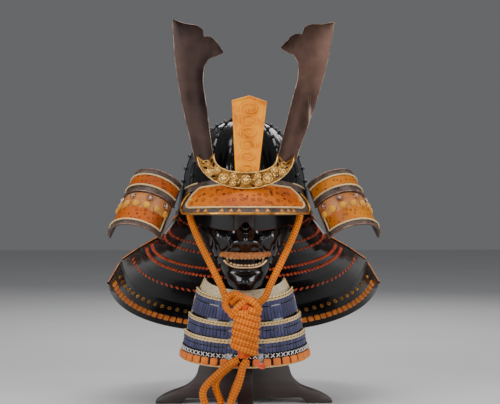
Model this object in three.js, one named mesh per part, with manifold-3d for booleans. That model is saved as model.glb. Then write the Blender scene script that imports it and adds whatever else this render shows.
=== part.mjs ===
// Samurai helmet with its face mask, throat guard and chin cord, on a plain wooden stand.
// Millimetres, +Z up, the face looking along -Y. The stand's post is the model's own axis
// while it is built, and the finished group is then slid so that the middle of the box
// round everything but the cord lies at X = 0, Y = 0.
import * as THREE from 'three';
import Module from 'manifold-3d';
import { mergeVertices } from 'three/addons/utils/BufferGeometryUtils.js';

const wasm = await Module();
wasm.setup();

// Driving dimensions
const GAP = 0.4; // between pieces that rest on each other
const PLATE = 2.5; // iron plate with its lacquer or leather

const BOWL = { halfWidth: 106, halfLength: 120, height: 130, baseZ: 365, tilt: 12 };
const RIB = { count: 16, height: 2.2, halfAngle: 2 };
const RIVET = { radius: 2.8, height: 3.4, latitudes: [16, 38, 57] };
const CROWN_RING = { inner: 17, outer: 28, low: 127.4, high: 135 };
const BROW_BAND = { flare: 1, depth: 11.5 };

const VISOR = { rootAngle: 45, edgeHalf: 106, edgeZ: 330, cornerY: -100, frontY: -165 };
const HORN_BASE = { y: -137, halfWidth: 80.5, depth: 55.5, tipZ: 426, bend: 400, plate: 2.2, rim: 4.4 };
const HORN = { thickness: 2.4, turn: 9, behind: 1.4 };
const HORNS = [
  { name: 'horn_left', side: -1, x: 66.5, z: 421, lean: 3.5 },
  { name: 'horn_right', side: 1, x: 67.5, z: 427, lean: 10.4 },
];
const TABLET = { topHalf: 28.7, bottomHalf: 18.7, height: 136, peak: 9, z: 388, x: 1.8, lean: 1.9 };

const MASK_WALL = 3;
const POST = { width: 36, footZ: 100, topZ: 430 };
const BOARD = { thickness: 25, reach: 154, footHeight: 4, arch: 9 };
const CORD = { diameter: 12, sides: 8 };
const KNOT = { wraps: 7, halfWidth: 23.5, halfDepth: 15, topZ: 183, bottomZ: 102, y: -142 };

// Finishes
const finish = (color, roughness, metalness = 0) =>
  new THREE.MeshStandardMaterial({ color, roughness, metalness });
const BLACK_LACQUER = finish(0x0b0a0c, 0.15);
const PRINTED_LEATHER = finish(0xe58a1c, 0.6);
const GREY_LEATHER = finish(0x6e5c58, 0.7);
const CREAM_LEATHER = finish(0xd8bc84, 0.7);
const BRONZE = finish(0x2c1a16, 0.4, 0.9);
const GILT = finish(0xd08a2c, 0.35, 0.9);
const ORANGE_CORD = finish(0xf08a1c, 0.8);
const FUR = finish(0xc8732e, 0.9);
const BLUE_LACING = finish(0x4b4b80, 0.8);
const DARK_WOOD = finish(0x372a28, 0.5);

// ---------- making solids ----------

const at = (x, y, z) => new THREE.Vector3(x, y, z);
const radians = THREE.MathUtils.degToRad;
const blend = THREE.MathUtils.lerp;

// Every column of two rows of a table, blended
function rowBetween(upper, lower, share) {
  const row = {};
  for (const column of Object.keys(upper)) {
    row[column] = blend(upper[column], lower[column], share);
  }
  return row;
}

// Row of a table at the share t of its length, its named columns blended in between
function rowAt(table, t) {
  const place = THREE.MathUtils.clamp(t, 0, 1) * (table.length - 1);
  const index = Math.min(Math.floor(place), table.length - 2);
  return rowBetween(table[index], table[index + 1], place - index);
}

// Turns every face over if the mesh is inside out
function facingOut(geometry) {
  const points = geometry.attributes.position;
  const order = geometry.index.array;
  const corner = (k) => new THREE.Vector3().fromBufferAttribute(points, order[k]);
  let volume = 0;
  for (let k = 0; k < order.length; k += 3) {
    volume += corner(k).dot(corner(k + 1).cross(corner(k + 2)));
  }
  if (volume < 0) {
    for (let k = 0; k < order.length; k += 3) {
      [order[k], order[k + 1]] = [order[k + 1], order[k]];
    }
  }
  return geometry;
}

function bare(geometry) {
  const copy = geometry.clone();
  copy.deleteAttribute('normal');
  copy.deleteAttribute('uv');
  return facingOut(mergeVertices(copy, 1e-3));
}

function solid(geometry) {
  const clean = bare(geometry);
  const mesh = new wasm.Mesh({
    numProp: 3,
    vertProperties: new Float32Array(clean.attributes.position.array),
    triVerts: new Uint32Array(clean.index.array),
  });
  return new wasm.Manifold(mesh);
}

function geometryOf(manifold) {
  const mesh = manifold.getMesh();
  const geometry = new THREE.BufferGeometry();
  geometry.setAttribute('position', new THREE.BufferAttribute(mesh.vertProperties, 3));
  geometry.setIndex(new THREE.BufferAttribute(mesh.triVerts, 1));
  return geometry;
}

// Closed body between two grids of points, open-edged or closed round on itself
function between(outerAt, innerAt, columns, rows, round = false) {
  const across = round ? columns : columns + 1;
  const points = [];
  for (const face of [outerAt, innerAt]) {
    for (let j = 0; j <= rows; j += 1) {
      for (let i = 0; i < across; i += 1) {
        points.push(...face(i / columns, j / rows).toArray());
      }
    }
  }
  const layer = across * (rows + 1);
  const id = (i, j, inner) => (i % across) + j * across + (inner ? layer : 0);
  const order = [];
  const quad = (a, b, c, d) => order.push(a, b, c, a, c, d);
  for (let i = 0; i < columns; i += 1) {
    for (let j = 0; j < rows; j += 1) {
      quad(id(i, j), id(i + 1, j), id(i + 1, j + 1), id(i, j + 1));
      quad(id(i, j, true), id(i, j + 1, true), id(i + 1, j + 1, true), id(i + 1, j, true));
    }
    quad(id(i, 0), id(i, 0, true), id(i + 1, 0, true), id(i + 1, 0));
    quad(id(i, rows), id(i + 1, rows), id(i + 1, rows, true), id(i, rows, true));
  }
  for (let j = 0; j < rows && !round; j += 1) {
    quad(id(0, j), id(0, j + 1), id(0, j + 1, true), id(0, j, true));
    quad(id(columns, j), id(columns, j, true), id(columns, j + 1, true), id(columns, j + 1));
  }
  const geometry = new THREE.BufferGeometry();
  geometry.setAttribute('position', new THREE.Float32BufferAttribute(points, 3));
  geometry.setIndex(order);
  return facingOut(geometry);
}

// Closed body of stacked rings, capped flat at both ends
function stack(ringAt, columns, rows) {
  const points = [];
  for (let j = 0; j <= rows; j += 1) {
    for (let i = 0; i < columns; i += 1) {
      points.push(...ringAt(i / columns, j / rows).toArray());
    }
  }
  const id = (i, j) => (i % columns) + j * columns;
  const order = [];
  for (let i = 0; i < columns; i += 1) {
    for (let j = 0; j < rows; j += 1) {
      order.push(id(i, j), id(i + 1, j), id(i + 1, j + 1));
      order.push(id(i, j), id(i + 1, j + 1), id(i, j + 1));
    }
  }
  for (let i = 1; i < columns - 1; i += 1) {
    order.push(id(0, 0), id(i + 1, 0), id(i, 0));
    order.push(id(0, rows), id(i, rows), id(i + 1, rows));
  }
  const geometry = new THREE.BufferGeometry();
  geometry.setAttribute('position', new THREE.Float32BufferAttribute(points, 3));
  geometry.setIndex(order);
  return facingOut(geometry);
}

// Direction out of a surface, away from the point core
function outOf(pointAt, u, v, core) {
  const step = 1e-3;
  const along = pointAt(u + step, v).sub(pointAt(u - step, v));
  const down = pointAt(u, v + step).sub(pointAt(u, v - step));
  const normal = along.cross(down).normalize();
  const outward = pointAt(u, v).sub(core);
  return normal.dot(outward) < 0 ? normal.negate() : normal;
}

// Wall of even thickness whose outer face is pointAt, growing towards the point core
function wall(pointAt, { columns, rows, thickness, core, round = false }) {
  const inner = (u, v) => pointAt(u, v).addScaledVector(outOf(pointAt, u, v, core), -thickness);
  return between(pointAt, inner, columns, rows, round);
}

function outline(points) {
  return new THREE.Shape(points.map(([x, y]) => new THREE.Vector2(x, y)));
}

// Flat shape drawn in X and Z, its front face at y and its thickness behind it
function upright(shape, y, thickness, curveSegments = 6) {
  const options = { depth: thickness, bevelEnabled: false, curveSegments };
  const geometry = new THREE.ExtrudeGeometry(shape, options);
  geometry.rotateX(Math.PI / 2);
  geometry.translate(0, y + thickness, 0);
  return bare(geometry);
}

function tube(points, radius, sides, steps) {
  const ring = new THREE.Shape();
  ring.absarc(0, 0, radius, 0, 2 * Math.PI);
  const path = new THREE.CatmullRomCurve3(points);
  const section = outline(ring.getSpacedPoints(sides).slice(0, sides).map((p) => [p.x, p.y]));
  return bare(new THREE.ExtrudeGeometry(section, { steps, bevelEnabled: false, extrudePath: path }));
}

const part = new THREE.Group();

function add(name, geometry, material, parent = part) {
  const mesh = new THREE.Mesh(geometry, material);
  mesh.name = name;
  parent.add(mesh);
  return mesh;
}

// ---------- bowl, crown ring and brow band, in the bowl's tilted frame ----------

const bowlGroup = new THREE.Group();
bowlGroup.rotation.x = -radians(BOWL.tilt);
bowlGroup.position.z = BOWL.baseZ;
bowlGroup.updateMatrix();
part.add(bowlGroup);

const LATITUDES = [0, 14, 28, 41, 53, 66, 78];

function domePoint(azimuth, latitude, proud = 0) {
  const spread = Math.cos(radians(latitude));
  return at(
    (BOWL.halfWidth + proud) * spread * Math.sin(azimuth),
    -(BOWL.halfLength + proud) * spread * Math.cos(azimuth),
    (BOWL.height + proud) * Math.sin(radians(latitude)),
  );
}

// Three columns to a rib: its foot, its crest and its other foot
function ribColumn(u) {
  const column = Math.round(u * RIB.count * 3);
  const azimuth = ((Math.floor(column / 3) + 0.5) * 360) / RIB.count;
  const place = (column % 3) - 1;
  return { azimuth: radians(azimuth + place * RIB.halfAngle), crest: place === 0 };
}

function bowlOuter(u, v) {
  const { azimuth, crest } = ribColumn(u);
  const row = Math.round(v * (LATITUDES.length - 1));
  const fading = row < LATITUDES.length - 1 ? 1 : 0;
  return domePoint(azimuth, LATITUDES[row], crest ? RIB.height * fading : 0);
}

function bowlInner(u, v) {
  const row = Math.round(v * (LATITUDES.length - 1));
  return domePoint(ribColumn(u).azimuth, LATITUDES[row], -PLATE);
}

function rivet(azimuth, latitude) {
  const geometry = new THREE.ConeGeometry(RIVET.radius, RIVET.height + 1, 4);
  const foot = domePoint(azimuth, latitude, RIB.height + RIVET.height / 2 - 1.2);
  const outward = domePoint(azimuth, latitude, 1).sub(domePoint(azimuth, latitude)).normalize();
  const turn = new THREE.Quaternion().setFromUnitVectors(at(0, 1, 0), outward);
  geometry.applyQuaternion(turn);
  geometry.translate(foot.x, foot.y, foot.z);
  return solid(geometry);
}

function bowl() {
  let body = solid(between(bowlOuter, bowlInner, RIB.count * 3, LATITUDES.length - 1, true));
  for (let rib = 0; rib < RIB.count; rib += 1) {
    const azimuth = radians(((rib + 0.5) * 360) / RIB.count);
    for (const latitude of RIVET.latitudes) {
      body = body.add(rivet(azimuth, latitude));
    }
  }
  return geometryOf(body);
}

function crownRing() {
  const { inner, outer, low, high } = CROWN_RING;
  const profile = [
    [inner, low + 2],
    [outer, low],
    [outer + 2, low + 2],
    [outer - 3, high - 2],
    [inner + 3, high],
    [inner, low + 2],
  ].map(([radius, height]) => new THREE.Vector2(radius, height));
  const geometry = new THREE.LatheGeometry(profile, 20);
  geometry.rotateX(Math.PI / 2);
  return bare(geometry);
}

function bowlBasePoint(azimuth, proud, z) {
  const x = (BOWL.halfWidth + proud) * Math.sin(azimuth);
  const y = -(BOWL.halfLength + proud) * Math.cos(azimuth);
  return at(x, y, z);
}

function browBand() {
  const band = (u, v) =>
    bowlBasePoint(u * 2 * Math.PI, BROW_BAND.flare * (1 + v), -GAP - v * BROW_BAND.depth);
  return wall(band, { columns: 32, rows: 1, thickness: PLATE, core: at(0, 0, 0), round: true });
}

add('bowl', bowl(), BLACK_LACQUER, bowlGroup);
add('crown_ring', crownRing(), GILT, bowlGroup);
add('brow_band', browBand(), GREY_LEATHER, bowlGroup);

// ---------- visor ----------

function visorRoot(share) {
  const azimuth = radians(VISOR.rootAngle * share);
  return bowlBasePoint(azimuth, 4.5, -10).applyMatrix4(bowlGroup.matrix);
}

// The front edge is an arc of an ellipse, reached at 60 degrees by the two corners
function visorEdge(share) {
  const angle = radians(60 * share);
  const depth = 2 * (VISOR.cornerY - VISOR.frontY);
  const x = (VISOR.edgeHalf * Math.sin(angle)) / Math.sin(radians(60));
  return at(x, VISOR.frontY + depth * (1 - Math.cos(angle)), VISOR.edgeZ);
}

function visorPoint(u, v) {
  const share = 2 * u - 1;
  const root = visorRoot(share);
  const edge = visorEdge(share);
  const point = root.clone().lerp(edge, v);
  const swell = Math.sin(Math.PI * THREE.MathUtils.clamp(v, 0, 1));
  point.x += 7 * swell * share ** 3;
  point.z += 2 * swell;
  return point;
}

// Border that runs down one side, along the front edge and up the other side
function visorRimPath() {
  const side = [0.3, 0.5, 0.7, 0.87];
  const front = Array.from({ length: 13 }, (_, k) => (k + 0.5) / 13);
  return [
    ...side.map((v) => visorPoint(0, v).add(at(-3.6, -1, -1))),
    ...front.map((u) => visorPoint(u, 1).add(at(6 * (u - 0.5), -3.2, -1.6))),
    ...side.reverse().map((v) => visorPoint(1, v).add(at(3.6, -1, -1))),
  ];
}

function stud(point, outward, radius, height, sides = 8) {
  const geometry = new THREE.CylinderGeometry(radius * 0.55, radius, height, sides);
  const turn = new THREE.Quaternion().setFromUnitVectors(at(0, 1, 0), outward);
  const middle = point.clone().addScaledVector(outward, GAP + height / 2);
  geometry.applyQuaternion(turn);
  geometry.translate(middle.x, middle.y, middle.z);
  return bare(geometry);
}

const VISOR_CORE = at(0, -60, 250);
const visorWall = { columns: 18, rows: 4, thickness: PLATE, core: VISOR_CORE };
add('visor', wall(visorPoint, visorWall), PRINTED_LEATHER);
add('visor_rim', tube(visorRimPath(), 2.2, 5, 26), GILT);
for (const [name, u] of [['visor_stud_left', 0.06], ['visor_stud_right', 0.94]]) {
  const outward = outOf(visorPoint, u, 0.55, VISOR_CORE);
  add(name, stud(visorPoint(u, 0.55), outward, 4.5, 3), GILT);
}

// ---------- horn base with its bosses ----------

// Crescent drawn a little inside its own edge by inset
function crescentPoints(inset) {
  const steps = 18;
  const arc = (halfWidth, depth, centreZ, from, to, power) =>
    Array.from({ length: steps + 1 }, (_, k) => {
      const angle = radians(blend(from, to, k / steps));
      const side = Math.sign(Math.sin(angle)) * Math.abs(Math.sin(angle)) ** power;
      return [halfWidth * side, centreZ - depth * Math.max(Math.cos(angle), 0) ** power];
    });
  const { halfWidth, depth, tipZ } = HORN_BASE;
  const outer = arc(halfWidth - inset, depth - inset, tipZ, 90, -90, 1);
  const inner = arc(51 + inset, 30 + inset, tipZ + 3, -90, 90, 0.8);
  const notchZ = tipZ - 12 - 1.6 * inset;
  const drop = inset * 1.2;
  outer[0][1] -= drop;
  outer[steps][1] -= drop;
  inner[0][1] -= drop;
  inner[steps][1] -= drop;
  return [...outer, [-64, notchZ], ...inner, [64, notchZ]];
}

const LARGE_BOSSES = [-35.8, 0, 35.8].map((x) => ({ x, z: 385.9 + Math.abs(x) / 15, radius: 8.3 }));
const SMALL_BOSS_SPOTS = [
  { x: 59.6, z: 398.5 },
  { x: 46.2, z: 401.7 },
  { x: 19.5, z: 391.8 },
  { x: 21, z: 381 },
];
const SMALL_BOSSES = SMALL_BOSS_SPOTS.flatMap(({ x, z }) => [
  { x: -x, z, radius: 5.3 },
  { x, z, radius: 5.3 },
]);
const BOSSES = [...LARGE_BOSSES, ...SMALL_BOSSES];

// Leaf-shaped hole, pointed at both ends, leaning by turn
function leafHole(x, z, length, width, turn) {
  const corners = [[-0.5, 0], [-0.15, -0.5], [0.2, -0.45], [0.5, 0], [0.2, 0.45], [-0.15, 0.5]];
  return outline(corners.map(([along, side]) => {
    const spot = new THREE.Vector2(along * length, side * width);
    return spot.rotateAround(new THREE.Vector2(), turn).add(new THREE.Vector2(x, z)).toArray();
  }));
}

// Two lanes of leaves that follow the crescent and lean in turn to either side
const LEAF_LANES = [
  { halfWidth: 57, depth: 37.5, length: 8.5, lean: 0.7 },
  { halfWidth: 71.5, depth: 50.5, length: 9.5, lean: -0.7 },
];

function leafHoles() {
  const holes = [];
  for (const { halfWidth, depth, length, lean } of LEAF_LANES) {
    for (let angle = -76; angle <= 76; angle += 9.5) {
      const spot = radians(angle);
      const x = halfWidth * Math.sin(spot);
      const z = HORN_BASE.tipZ - depth * Math.cos(spot);
      const along = Math.atan2(depth * Math.sin(spot), halfWidth * Math.cos(spot));
      if (BOSSES.every((boss) => Math.hypot(boss.x - x, boss.z - z) > boss.radius + 2.6)) {
        holes.push(leafHole(x, z, length, 4, along + lean * Math.sign(angle || 1)));
      }
    }
  }
  return holes;
}

// The plate follows the brow: it is bent back towards its two arms
function bendAt(x) {
  return x ** 2 / (2 * HORN_BASE.bend);
}

function bent(geometry) {
  const points = geometry.attributes.position;
  for (let k = 0; k < points.count; k += 1) {
    points.setY(k, points.getY(k) + bendAt(points.getX(k)));
  }
  return geometry;
}

function hornBase() {
  const { y, plate, rim } = HORN_BASE;
  const through = (shape) => solid(upright(shape, y - 10, 20));
  let sheet = solid(upright(outline(crescentPoints(0.6)), y, plate));
  for (const hole of leafHoles()) {
    sheet = sheet.subtract(through(hole));
  }
  const border = solid(upright(outline(crescentPoints(0)), y - (rim - plate) / 2, rim));
  const band = border.subtract(through(outline(crescentPoints(2.6))));
  return bent(geometryOf(sheet.add(band)));
}

add('horn_base', hornBase(), GILT);
for (const [k, { x, z, radius }] of BOSSES.entries()) {
  const spot = at(x, HORN_BASE.y + bendAt(x) - 0.5, z);
  add(`boss_${k + 1}`, stud(spot, at(0, -1, 0), radius, 4, radius > 6 ? 10 : 8), GILT);
}

// ---------- horns and crest tablet, their feet behind the horn base ----------

// Right horn upright, its foot at the origin; the sides are smooth runs between corners
function hornShape() {
  const shape = new THREE.Shape();
  const run = (points) => shape.splineThru(points.map(([x, y]) => new THREE.Vector2(x, y)));
  shape.moveTo(-14.5, -14);
  shape.lineTo(15, -14);
  run([[24, 42], [33, 95], [39.5, 165], [39.5, 231]]);
  run([[20, 223], [0, 218], [-9.5, 210]]);
  shape.lineTo(-10.6, 199);
  run([[-19, 198.5], [-28, 192], [-42, 170]]);
  run([[-30, 165], [-17, 162], [-8, 150]]);
  run([[-4.6, 124], [-8, 84], [-14.5, -14]]);
  return shape;
}

function horn({ name, side, x, z, lean }) {
  const geometry = upright(hornShape(), 0, HORN.thickness, 3);
  geometry.rotateY(radians(lean));
  if (side < 0) {
    geometry.scale(-1, 1, 1);
  }
  geometry.rotateZ(radians(HORN.turn * side));
  const y = HORN_BASE.y + HORN_BASE.rim + bendAt(x) + HORN.behind;
  geometry.translate(side * x, y, z);
  add(name, facingOut(geometry), BRONZE);
}

HORNS.forEach(horn);

function tabletOutline(inset) {
  const { topHalf, bottomHalf, height, peak } = TABLET;
  const top = height - peak - inset;
  return [
    [-bottomHalf + inset, inset],
    [bottomHalf - inset, inset],
    [topHalf - inset, top],
    [0, top + peak],
    [-topHalf + inset, top],
  ];
}

// Flat ribbon that winds in from its end to its middle, in X and Z
function curl(x, z, radius, turn, hand) {
  const steps = 8;
  const edge = (width) => Array.from({ length: steps + 1 }, (_, k) => {
    const share = k / steps;
    const angle = turn + hand * share * 4.4;
    const reach = radius * (1 - 0.72 * share) + width * (1 - 0.6 * share);
    return [x + reach * Math.cos(angle), z + reach * Math.sin(angle)];
  });
  return outline([...edge(1.3), ...edge(-1.3).reverse()]);
}

// Raised border and a scroll of five curls that turn to either side in turn
function crestTablet() {
  const relief = 1.6;
  let body = solid(upright(outline(tabletOutline(0)), 0, 4));
  const border = solid(upright(outline(tabletOutline(0.2)), -relief, relief + 1));
  const field = solid(upright(outline(tabletOutline(3.2)), -10, 20));
  body = body.add(border.subtract(field));
  for (let k = 0; k < 5; k += 1) {
    const hand = k % 2 ? 1 : -1;
    const radius = 8 + 1.3 * k;
    const shape = curl(hand * (3 + k * 0.7), 22 + 22.5 * k, radius, hand > 0 ? -0.6 : 3.74, hand);
    body = body.add(solid(upright(shape, -relief, relief + 1)));
  }
  const geometry = geometryOf(body);
  geometry.rotateY(radians(TABLET.lean));
  geometry.translate(TABLET.x, HORN_BASE.y + HORN_BASE.rim + 2, TABLET.z);
  return geometry;
}

add('crest_tablet', crestTablet(), GILT);

// ---------- turned-back ear plates ----------

// Sections of the right side's plates from the top down: the inner corner, the outer corner
// and the height of the arch between them
const EAR_SECTIONS = [
  {
    innerX: 109, innerY: -46, innerZ: 376,
    outerX: 185, outerY: -8, outerZ: 388,
    archX: 6, archY: -35, archZ: 22,
  },
  {
    innerX: 141, innerY: -68, innerZ: 285,
    outerX: 229, outerY: -45, outerZ: 286,
    archX: 12, archY: -53, archZ: 28,
  },
];

function earPoint(side, u, v) {
  const row = rowAt(EAR_SECTIONS, v);
  const angle = Math.PI * (0.03 + 0.94 * u);
  const share = (1 - Math.cos(angle)) / 2;
  const rise = Math.sin(angle);
  return at(
    side * (blend(row.innerX, row.outerX, share) + row.archX * rise),
    blend(row.innerY, row.outerY, share) + row.archY * rise,
    blend(row.innerZ, row.outerZ, share) + row.archZ * rise,
  );
}

for (const [label, side] of [['left', -1], ['right', 1]]) {
  const core = at(side * 160, 30, 310);
  const face = (u, v) => earPoint(side, u, v);
  const upper = (u, v) => {
    const depth = THREE.MathUtils.clamp(v * 0.42, 0.002, 0.42);
    return face(u, depth).addScaledVector(outOf(face, u, depth, core), PLATE + 1);
  };
  const lower = (u, v) => face(u, 0.34 + v * 0.658);
  const grid = { columns: 12, rows: 2, thickness: PLATE, core };
  add(`ear_plate_upper_${label}`, wall(upper, grid), PRINTED_LEATHER);
  add(`ear_plate_lower_${label}`, wall(lower, grid), GREY_LEATHER);
  for (let k = 0; k < 4; k += 1) {
    const u = 0.16 + 0.225 * k;
    const outward = outOf(face, u, 0.53, core);
    add(`rosette_${label}_${k + 1}`, stud(face(u, 0.53), outward, 5, 3.4), GILT);
  }
}

// ---------- neck guard: five lames that spread like an umbrella ----------

// Lower edges of the lames from the bowl down: at the sides and at the back; square above 2
// makes the plan squarer than an ellipse
const NECK_EDGES = [
  { halfWidth: 112, back: 125, sideZ: 366, backZ: 337, square: 2 },
  { halfWidth: 118, back: 133, sideZ: 315, backZ: 287, square: 2 },
  { halfWidth: 147, back: 154, sideZ: 280, backZ: 237, square: 2.05 },
  { halfWidth: 181, back: 190, sideZ: 260, backZ: 190, square: 2.15 },
  { halfWidth: 212, back: 215, sideZ: 240, backZ: 145, square: 2.25 },
  { halfWidth: 237, back: 234, sideZ: 205, backZ: 95, square: 2.3 },
];
const NECK = { tuck: 0.2, step: 3.6, fronts: [20, 22, 9, 5, 1], core: at(0, 40, -40) };

// The upper fifth of each lame is tucked up outside the lame above it
function neckPoint(lame, u, v) {
  const tucked = lame > 0 && v < 0.5;
  const share = lame === 0 ? v : 2 * v - 1;
  const row = tucked
    ? rowBetween(NECK_EDGES[lame - 1], NECK_EDGES[lame], 1 + NECK.tuck * share)
    : rowBetween(NECK_EDGES[lame], NECK_EDGES[lame + 1], share);
  const lift = tucked ? 1 : 1 - share;
  const proud = lame === 0 ? 0 : NECK.step * lift;
  const reach = 90 + NECK.fronts[lame];
  const angle = radians(blend(-reach, reach, u));
  const power = 2 / row.square;
  const side = Math.sign(Math.sin(angle)) * Math.abs(Math.sin(angle)) ** power;
  const back = Math.sign(Math.cos(angle)) * Math.abs(Math.cos(angle)) ** power;
  return at(
    (row.halfWidth + proud) * side,
    (row.back + proud) * back,
    blend(row.sideZ, row.backZ, back) + proud * 0.7,
  );
}

for (let lame = 0; lame < NECK.fronts.length; lame += 1) {
  const grid = { columns: 24, rows: lame === 0 ? 1 : 2, thickness: PLATE, core: NECK.core };
  add(`neck_lame_${lame + 1}`, wall((u, v) => neckPoint(lame, u, v), grid), BLACK_LACQUER);
}

// ---------- face mask ----------

// Rows from the top edge to the chin: half the width, and how deep the side edge and the
// middle lie before any feature is raised
const MASK_ROWS = [
  { half: 80, sideY: -40, frontY: -103 },
  { half: 78, sideY: -42, frontY: -104 },
  { half: 73, sideY: -44, frontY: -104 },
  { half: 65, sideY: -48, frontY: -103 },
  { half: 54, sideY: -55, frontY: -103 },
  { half: 40, sideY: -68, frontY: -105 },
  { half: 27, sideY: -84, frontY: -108 },
];
// Raised and sunk features: the place, the spread across and down, and the height
const MASK_FEATURES = [
  { x: 0, z: 306, across: 9, down: 16, out: 13 },
  { x: 0, z: 284, across: 15, down: 12, out: 20 },
  { x: 20, z: 284, across: 10, down: 8, out: 9 },
  { x: 46, z: 294, across: 16, down: 13, out: 9 },
  { x: 58, z: 270, across: 12, down: 10, out: 5 },
  { x: 0, z: 251, across: 36, down: 12, out: 8 },
  { x: 0, z: 234, across: 24, down: 5, out: -5 },
  { x: 0, z: 219, across: 20, down: 12, out: 11 },
];
const MASK_CORE = at(0, 0, 260);

function maskTop(x) {
  return 300 + 12 * (Math.abs(x) / 79) ** 1.5 + 17 * Math.exp(-((x / 11) ** 2));
}

function maskBottom(x) {
  return 204 + 6 * (x / 24) ** 2;
}

function maskRelief(x, z) {
  let height = 0;
  for (const bump of MASK_FEATURES) {
    for (const side of bump.x ? [-1, 1] : [1]) {
      const across = (x - side * bump.x) / bump.across;
      const down = (z - bump.z) / bump.down;
      height += bump.out * Math.exp(-(across ** 2) - down ** 2);
    }
  }
  return height;
}

function maskPoint(u, v) {
  const row = rowAt(MASK_ROWS, v);
  const turn = 2 * u - 1;
  const angle = (Math.PI / 2) * Math.sign(turn) * Math.abs(turn) ** 1.2;
  const x = row.half * Math.sin(angle);
  const z = blend(maskTop(x), maskBottom(x), v);
  const y = blend(row.sideY, row.frontY, Math.max(Math.cos(angle), 0) ** 0.9);
  return at(x, y - maskRelief(x, z), z);
}

// Point of the mask's outer face above the place x and z on its front
function maskFace(x, z, proud) {
  const v = (maskTop(x) - z) / (maskTop(x) - maskBottom(x));
  const row = rowAt(MASK_ROWS, v);
  const share = Math.sqrt(Math.max(1 - (x / row.half) ** 2, 0)) ** 0.9;
  return at(x, blend(row.sideY, row.frontY, share) - maskRelief(x, z) - proud, z);
}

const MOUTH = { half: 38, topZ: 259, bottomZ: 243 };

function mouthLens() {
  const { half, topZ, bottomZ } = MOUTH;
  const shape = new THREE.Shape();
  shape.moveTo(-half, topZ - 1);
  shape.quadraticCurveTo(0, topZ + 2, half, topZ - 1);
  shape.quadraticCurveTo(0, 2 * bottomZ - topZ + 2, -half, topZ - 1);
  return upright(shape, -160, 90, 8);
}

function mask() {
  const grid = { columns: 20, rows: 10, thickness: MASK_WALL, core: MASK_CORE };
  return geometryOf(solid(wall(maskPoint, grid)).subtract(solid(mouthLens())));
}

// Strip that follows the mask's face between two heights, proud of it or sunk behind it
function maskStrip({ half, top, bottom, proud, thickness, columns = 10 }) {
  const strip = (u, v) => {
    const x = blend(-half, half, u);
    return maskFace(x, blend(top(x), bottom(x), v), proud);
  };
  return wall(strip, { columns, rows: 1, thickness, core: MASK_CORE });
}

const behindMask = -(MASK_WALL + 3.2);
add('mask', mask(), BLACK_LACQUER);
add('moustache', maskStrip({
  half: 40,
  top: (x) => 267.5 + Math.abs(x) * 0.03,
  bottom: (x) => 259.5 + Math.abs(x) * 0.15,
  proud: 8,
  thickness: 4.5,
}), FUR);
add('upper_teeth', maskStrip({
  half: 34, top: () => 263, bottom: () => 253, proud: behindMask, thickness: 2,
}), GILT);
add('lower_teeth', maskStrip({
  half: 30, top: () => 250, bottom: () => 239, proud: behindMask, thickness: 2,
}), GILT);

// ---------- throat guard: five lames under the chin ----------

const THROAT_EDGES = [
  { half: 67, sideY: -44, sideZ: 222, frontY: -91, frontZ: 203 },
  { half: 78, sideY: -49, sideZ: 199, frontY: -99, frontZ: 181 },
  { half: 90, sideY: -54, sideZ: 160, frontY: -109, frontZ: 144 },
  { half: 97, sideY: -57, sideZ: 133, frontY: -116, frontZ: 118 },
  { half: 103, sideY: -59, sideZ: 111, frontY: -120, frontZ: 97 },
  { half: 108, sideY: -60, sideZ: 92, frontY: -125, frontZ: 79 },
];

function throatPoint(lame, u, v) {
  const share = lame === 0 ? v : v * 1.22 - 0.22;
  const row = rowBetween(THROAT_EDGES[lame], THROAT_EDGES[lame + 1], share);
  const angle = radians(blend(-86, 86, u));
  const proud = lame === 0 ? 0 : 3.2 * (1 - share);
  const front = Math.cos(angle);
  return at(
    (row.half + proud) * Math.sin(angle),
    blend(row.sideY, row.frontY, front) - proud,
    blend(row.sideZ, row.frontZ, front),
  );
}

for (let lame = 0; lame < THROAT_EDGES.length - 1; lame += 1) {
  const grid = { columns: 14, rows: 1, thickness: PLATE, core: at(0, 40, 130) };
  const material = lame === 0 ? CREAM_LEATHER : BLUE_LACING;
  add(`throat_lame_${lame + 1}`, wall((u, v) => throatPoint(lame, u, v), grid), material);
}

// ---------- chin cord ----------

// One cord: up from the knot past the right cheek into the bowl, round the back of the head
// just inside the brow band, and down past the left cheek to the knot again
const CORD_CLIMB = [
  { x: 21, y: -128, z: 184 },
  { x: 33, y: -124, z: 196 },
  { x: 40, y: -118, z: 212 },
  { x: 52, y: -110, z: 236 },
  { x: 67, y: -103, z: 266 },
  { x: 82, y: -92, z: 298 },
  { x: 92, y: -80, z: 326 },
  { x: 92, y: -62, z: 346 },
  { x: 94, y: -36, z: 350 },
];
const CORD_BACK = [-8, 20, 48, 74, 90].map((y) => ({
  x: 96 * Math.sqrt(1 - (y / 107) ** 2),
  y,
  z: 347 - 0.08 * y,
}));

function chinCordRoute() {
  const half = [...CORD_CLIMB, ...CORD_BACK];
  const right = half.map(({ x, y, z }) => at(x, y, z));
  const left = half.map(({ x, y, z }) => at(-x, y, z)).reverse();
  return [...right, at(0, 101, 339), ...left];
}

// Hanging loops below the knot, from where they leave it to their return
const LOOP_LEFT = [
  [-12, -141, 95], [-28, -142, 87], [-44, -143, 73], [-60, -143, 58], [-69, -142, 44],
  [-68, -141, 29], [-62, -138, 16], [-53, -134, 9], [-44, -130, 13], [-41, -127, 25],
  [-46, -126, 38], [-49, -127, 52], [-42, -129, 67], [-28, -131, 80], [-14, -132, 93],
];
const LOOP_RIGHT = [
  [2, -142, 95], [-4, -143, 86], [-8, -144, 70], [-13, -144, 52], [-20, -143, 36],
  [-25, -142, 22], [-28, -139, 11], [-28, -133, 8], [-26, -128, 16], [-23, -126, 29],
  [-18, -127, 44], [-12, -130, 60], [-6, -132, 77], [1, -135, 91],
];
const FRAYED_END = [[14, -149, 96], [16, -152, 91], [21, -154, 87], [28, -154, 86], [35, -152, 87]];

const routeOf = (points) => points.map(([x, y, z]) => at(x, y, z));

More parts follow.
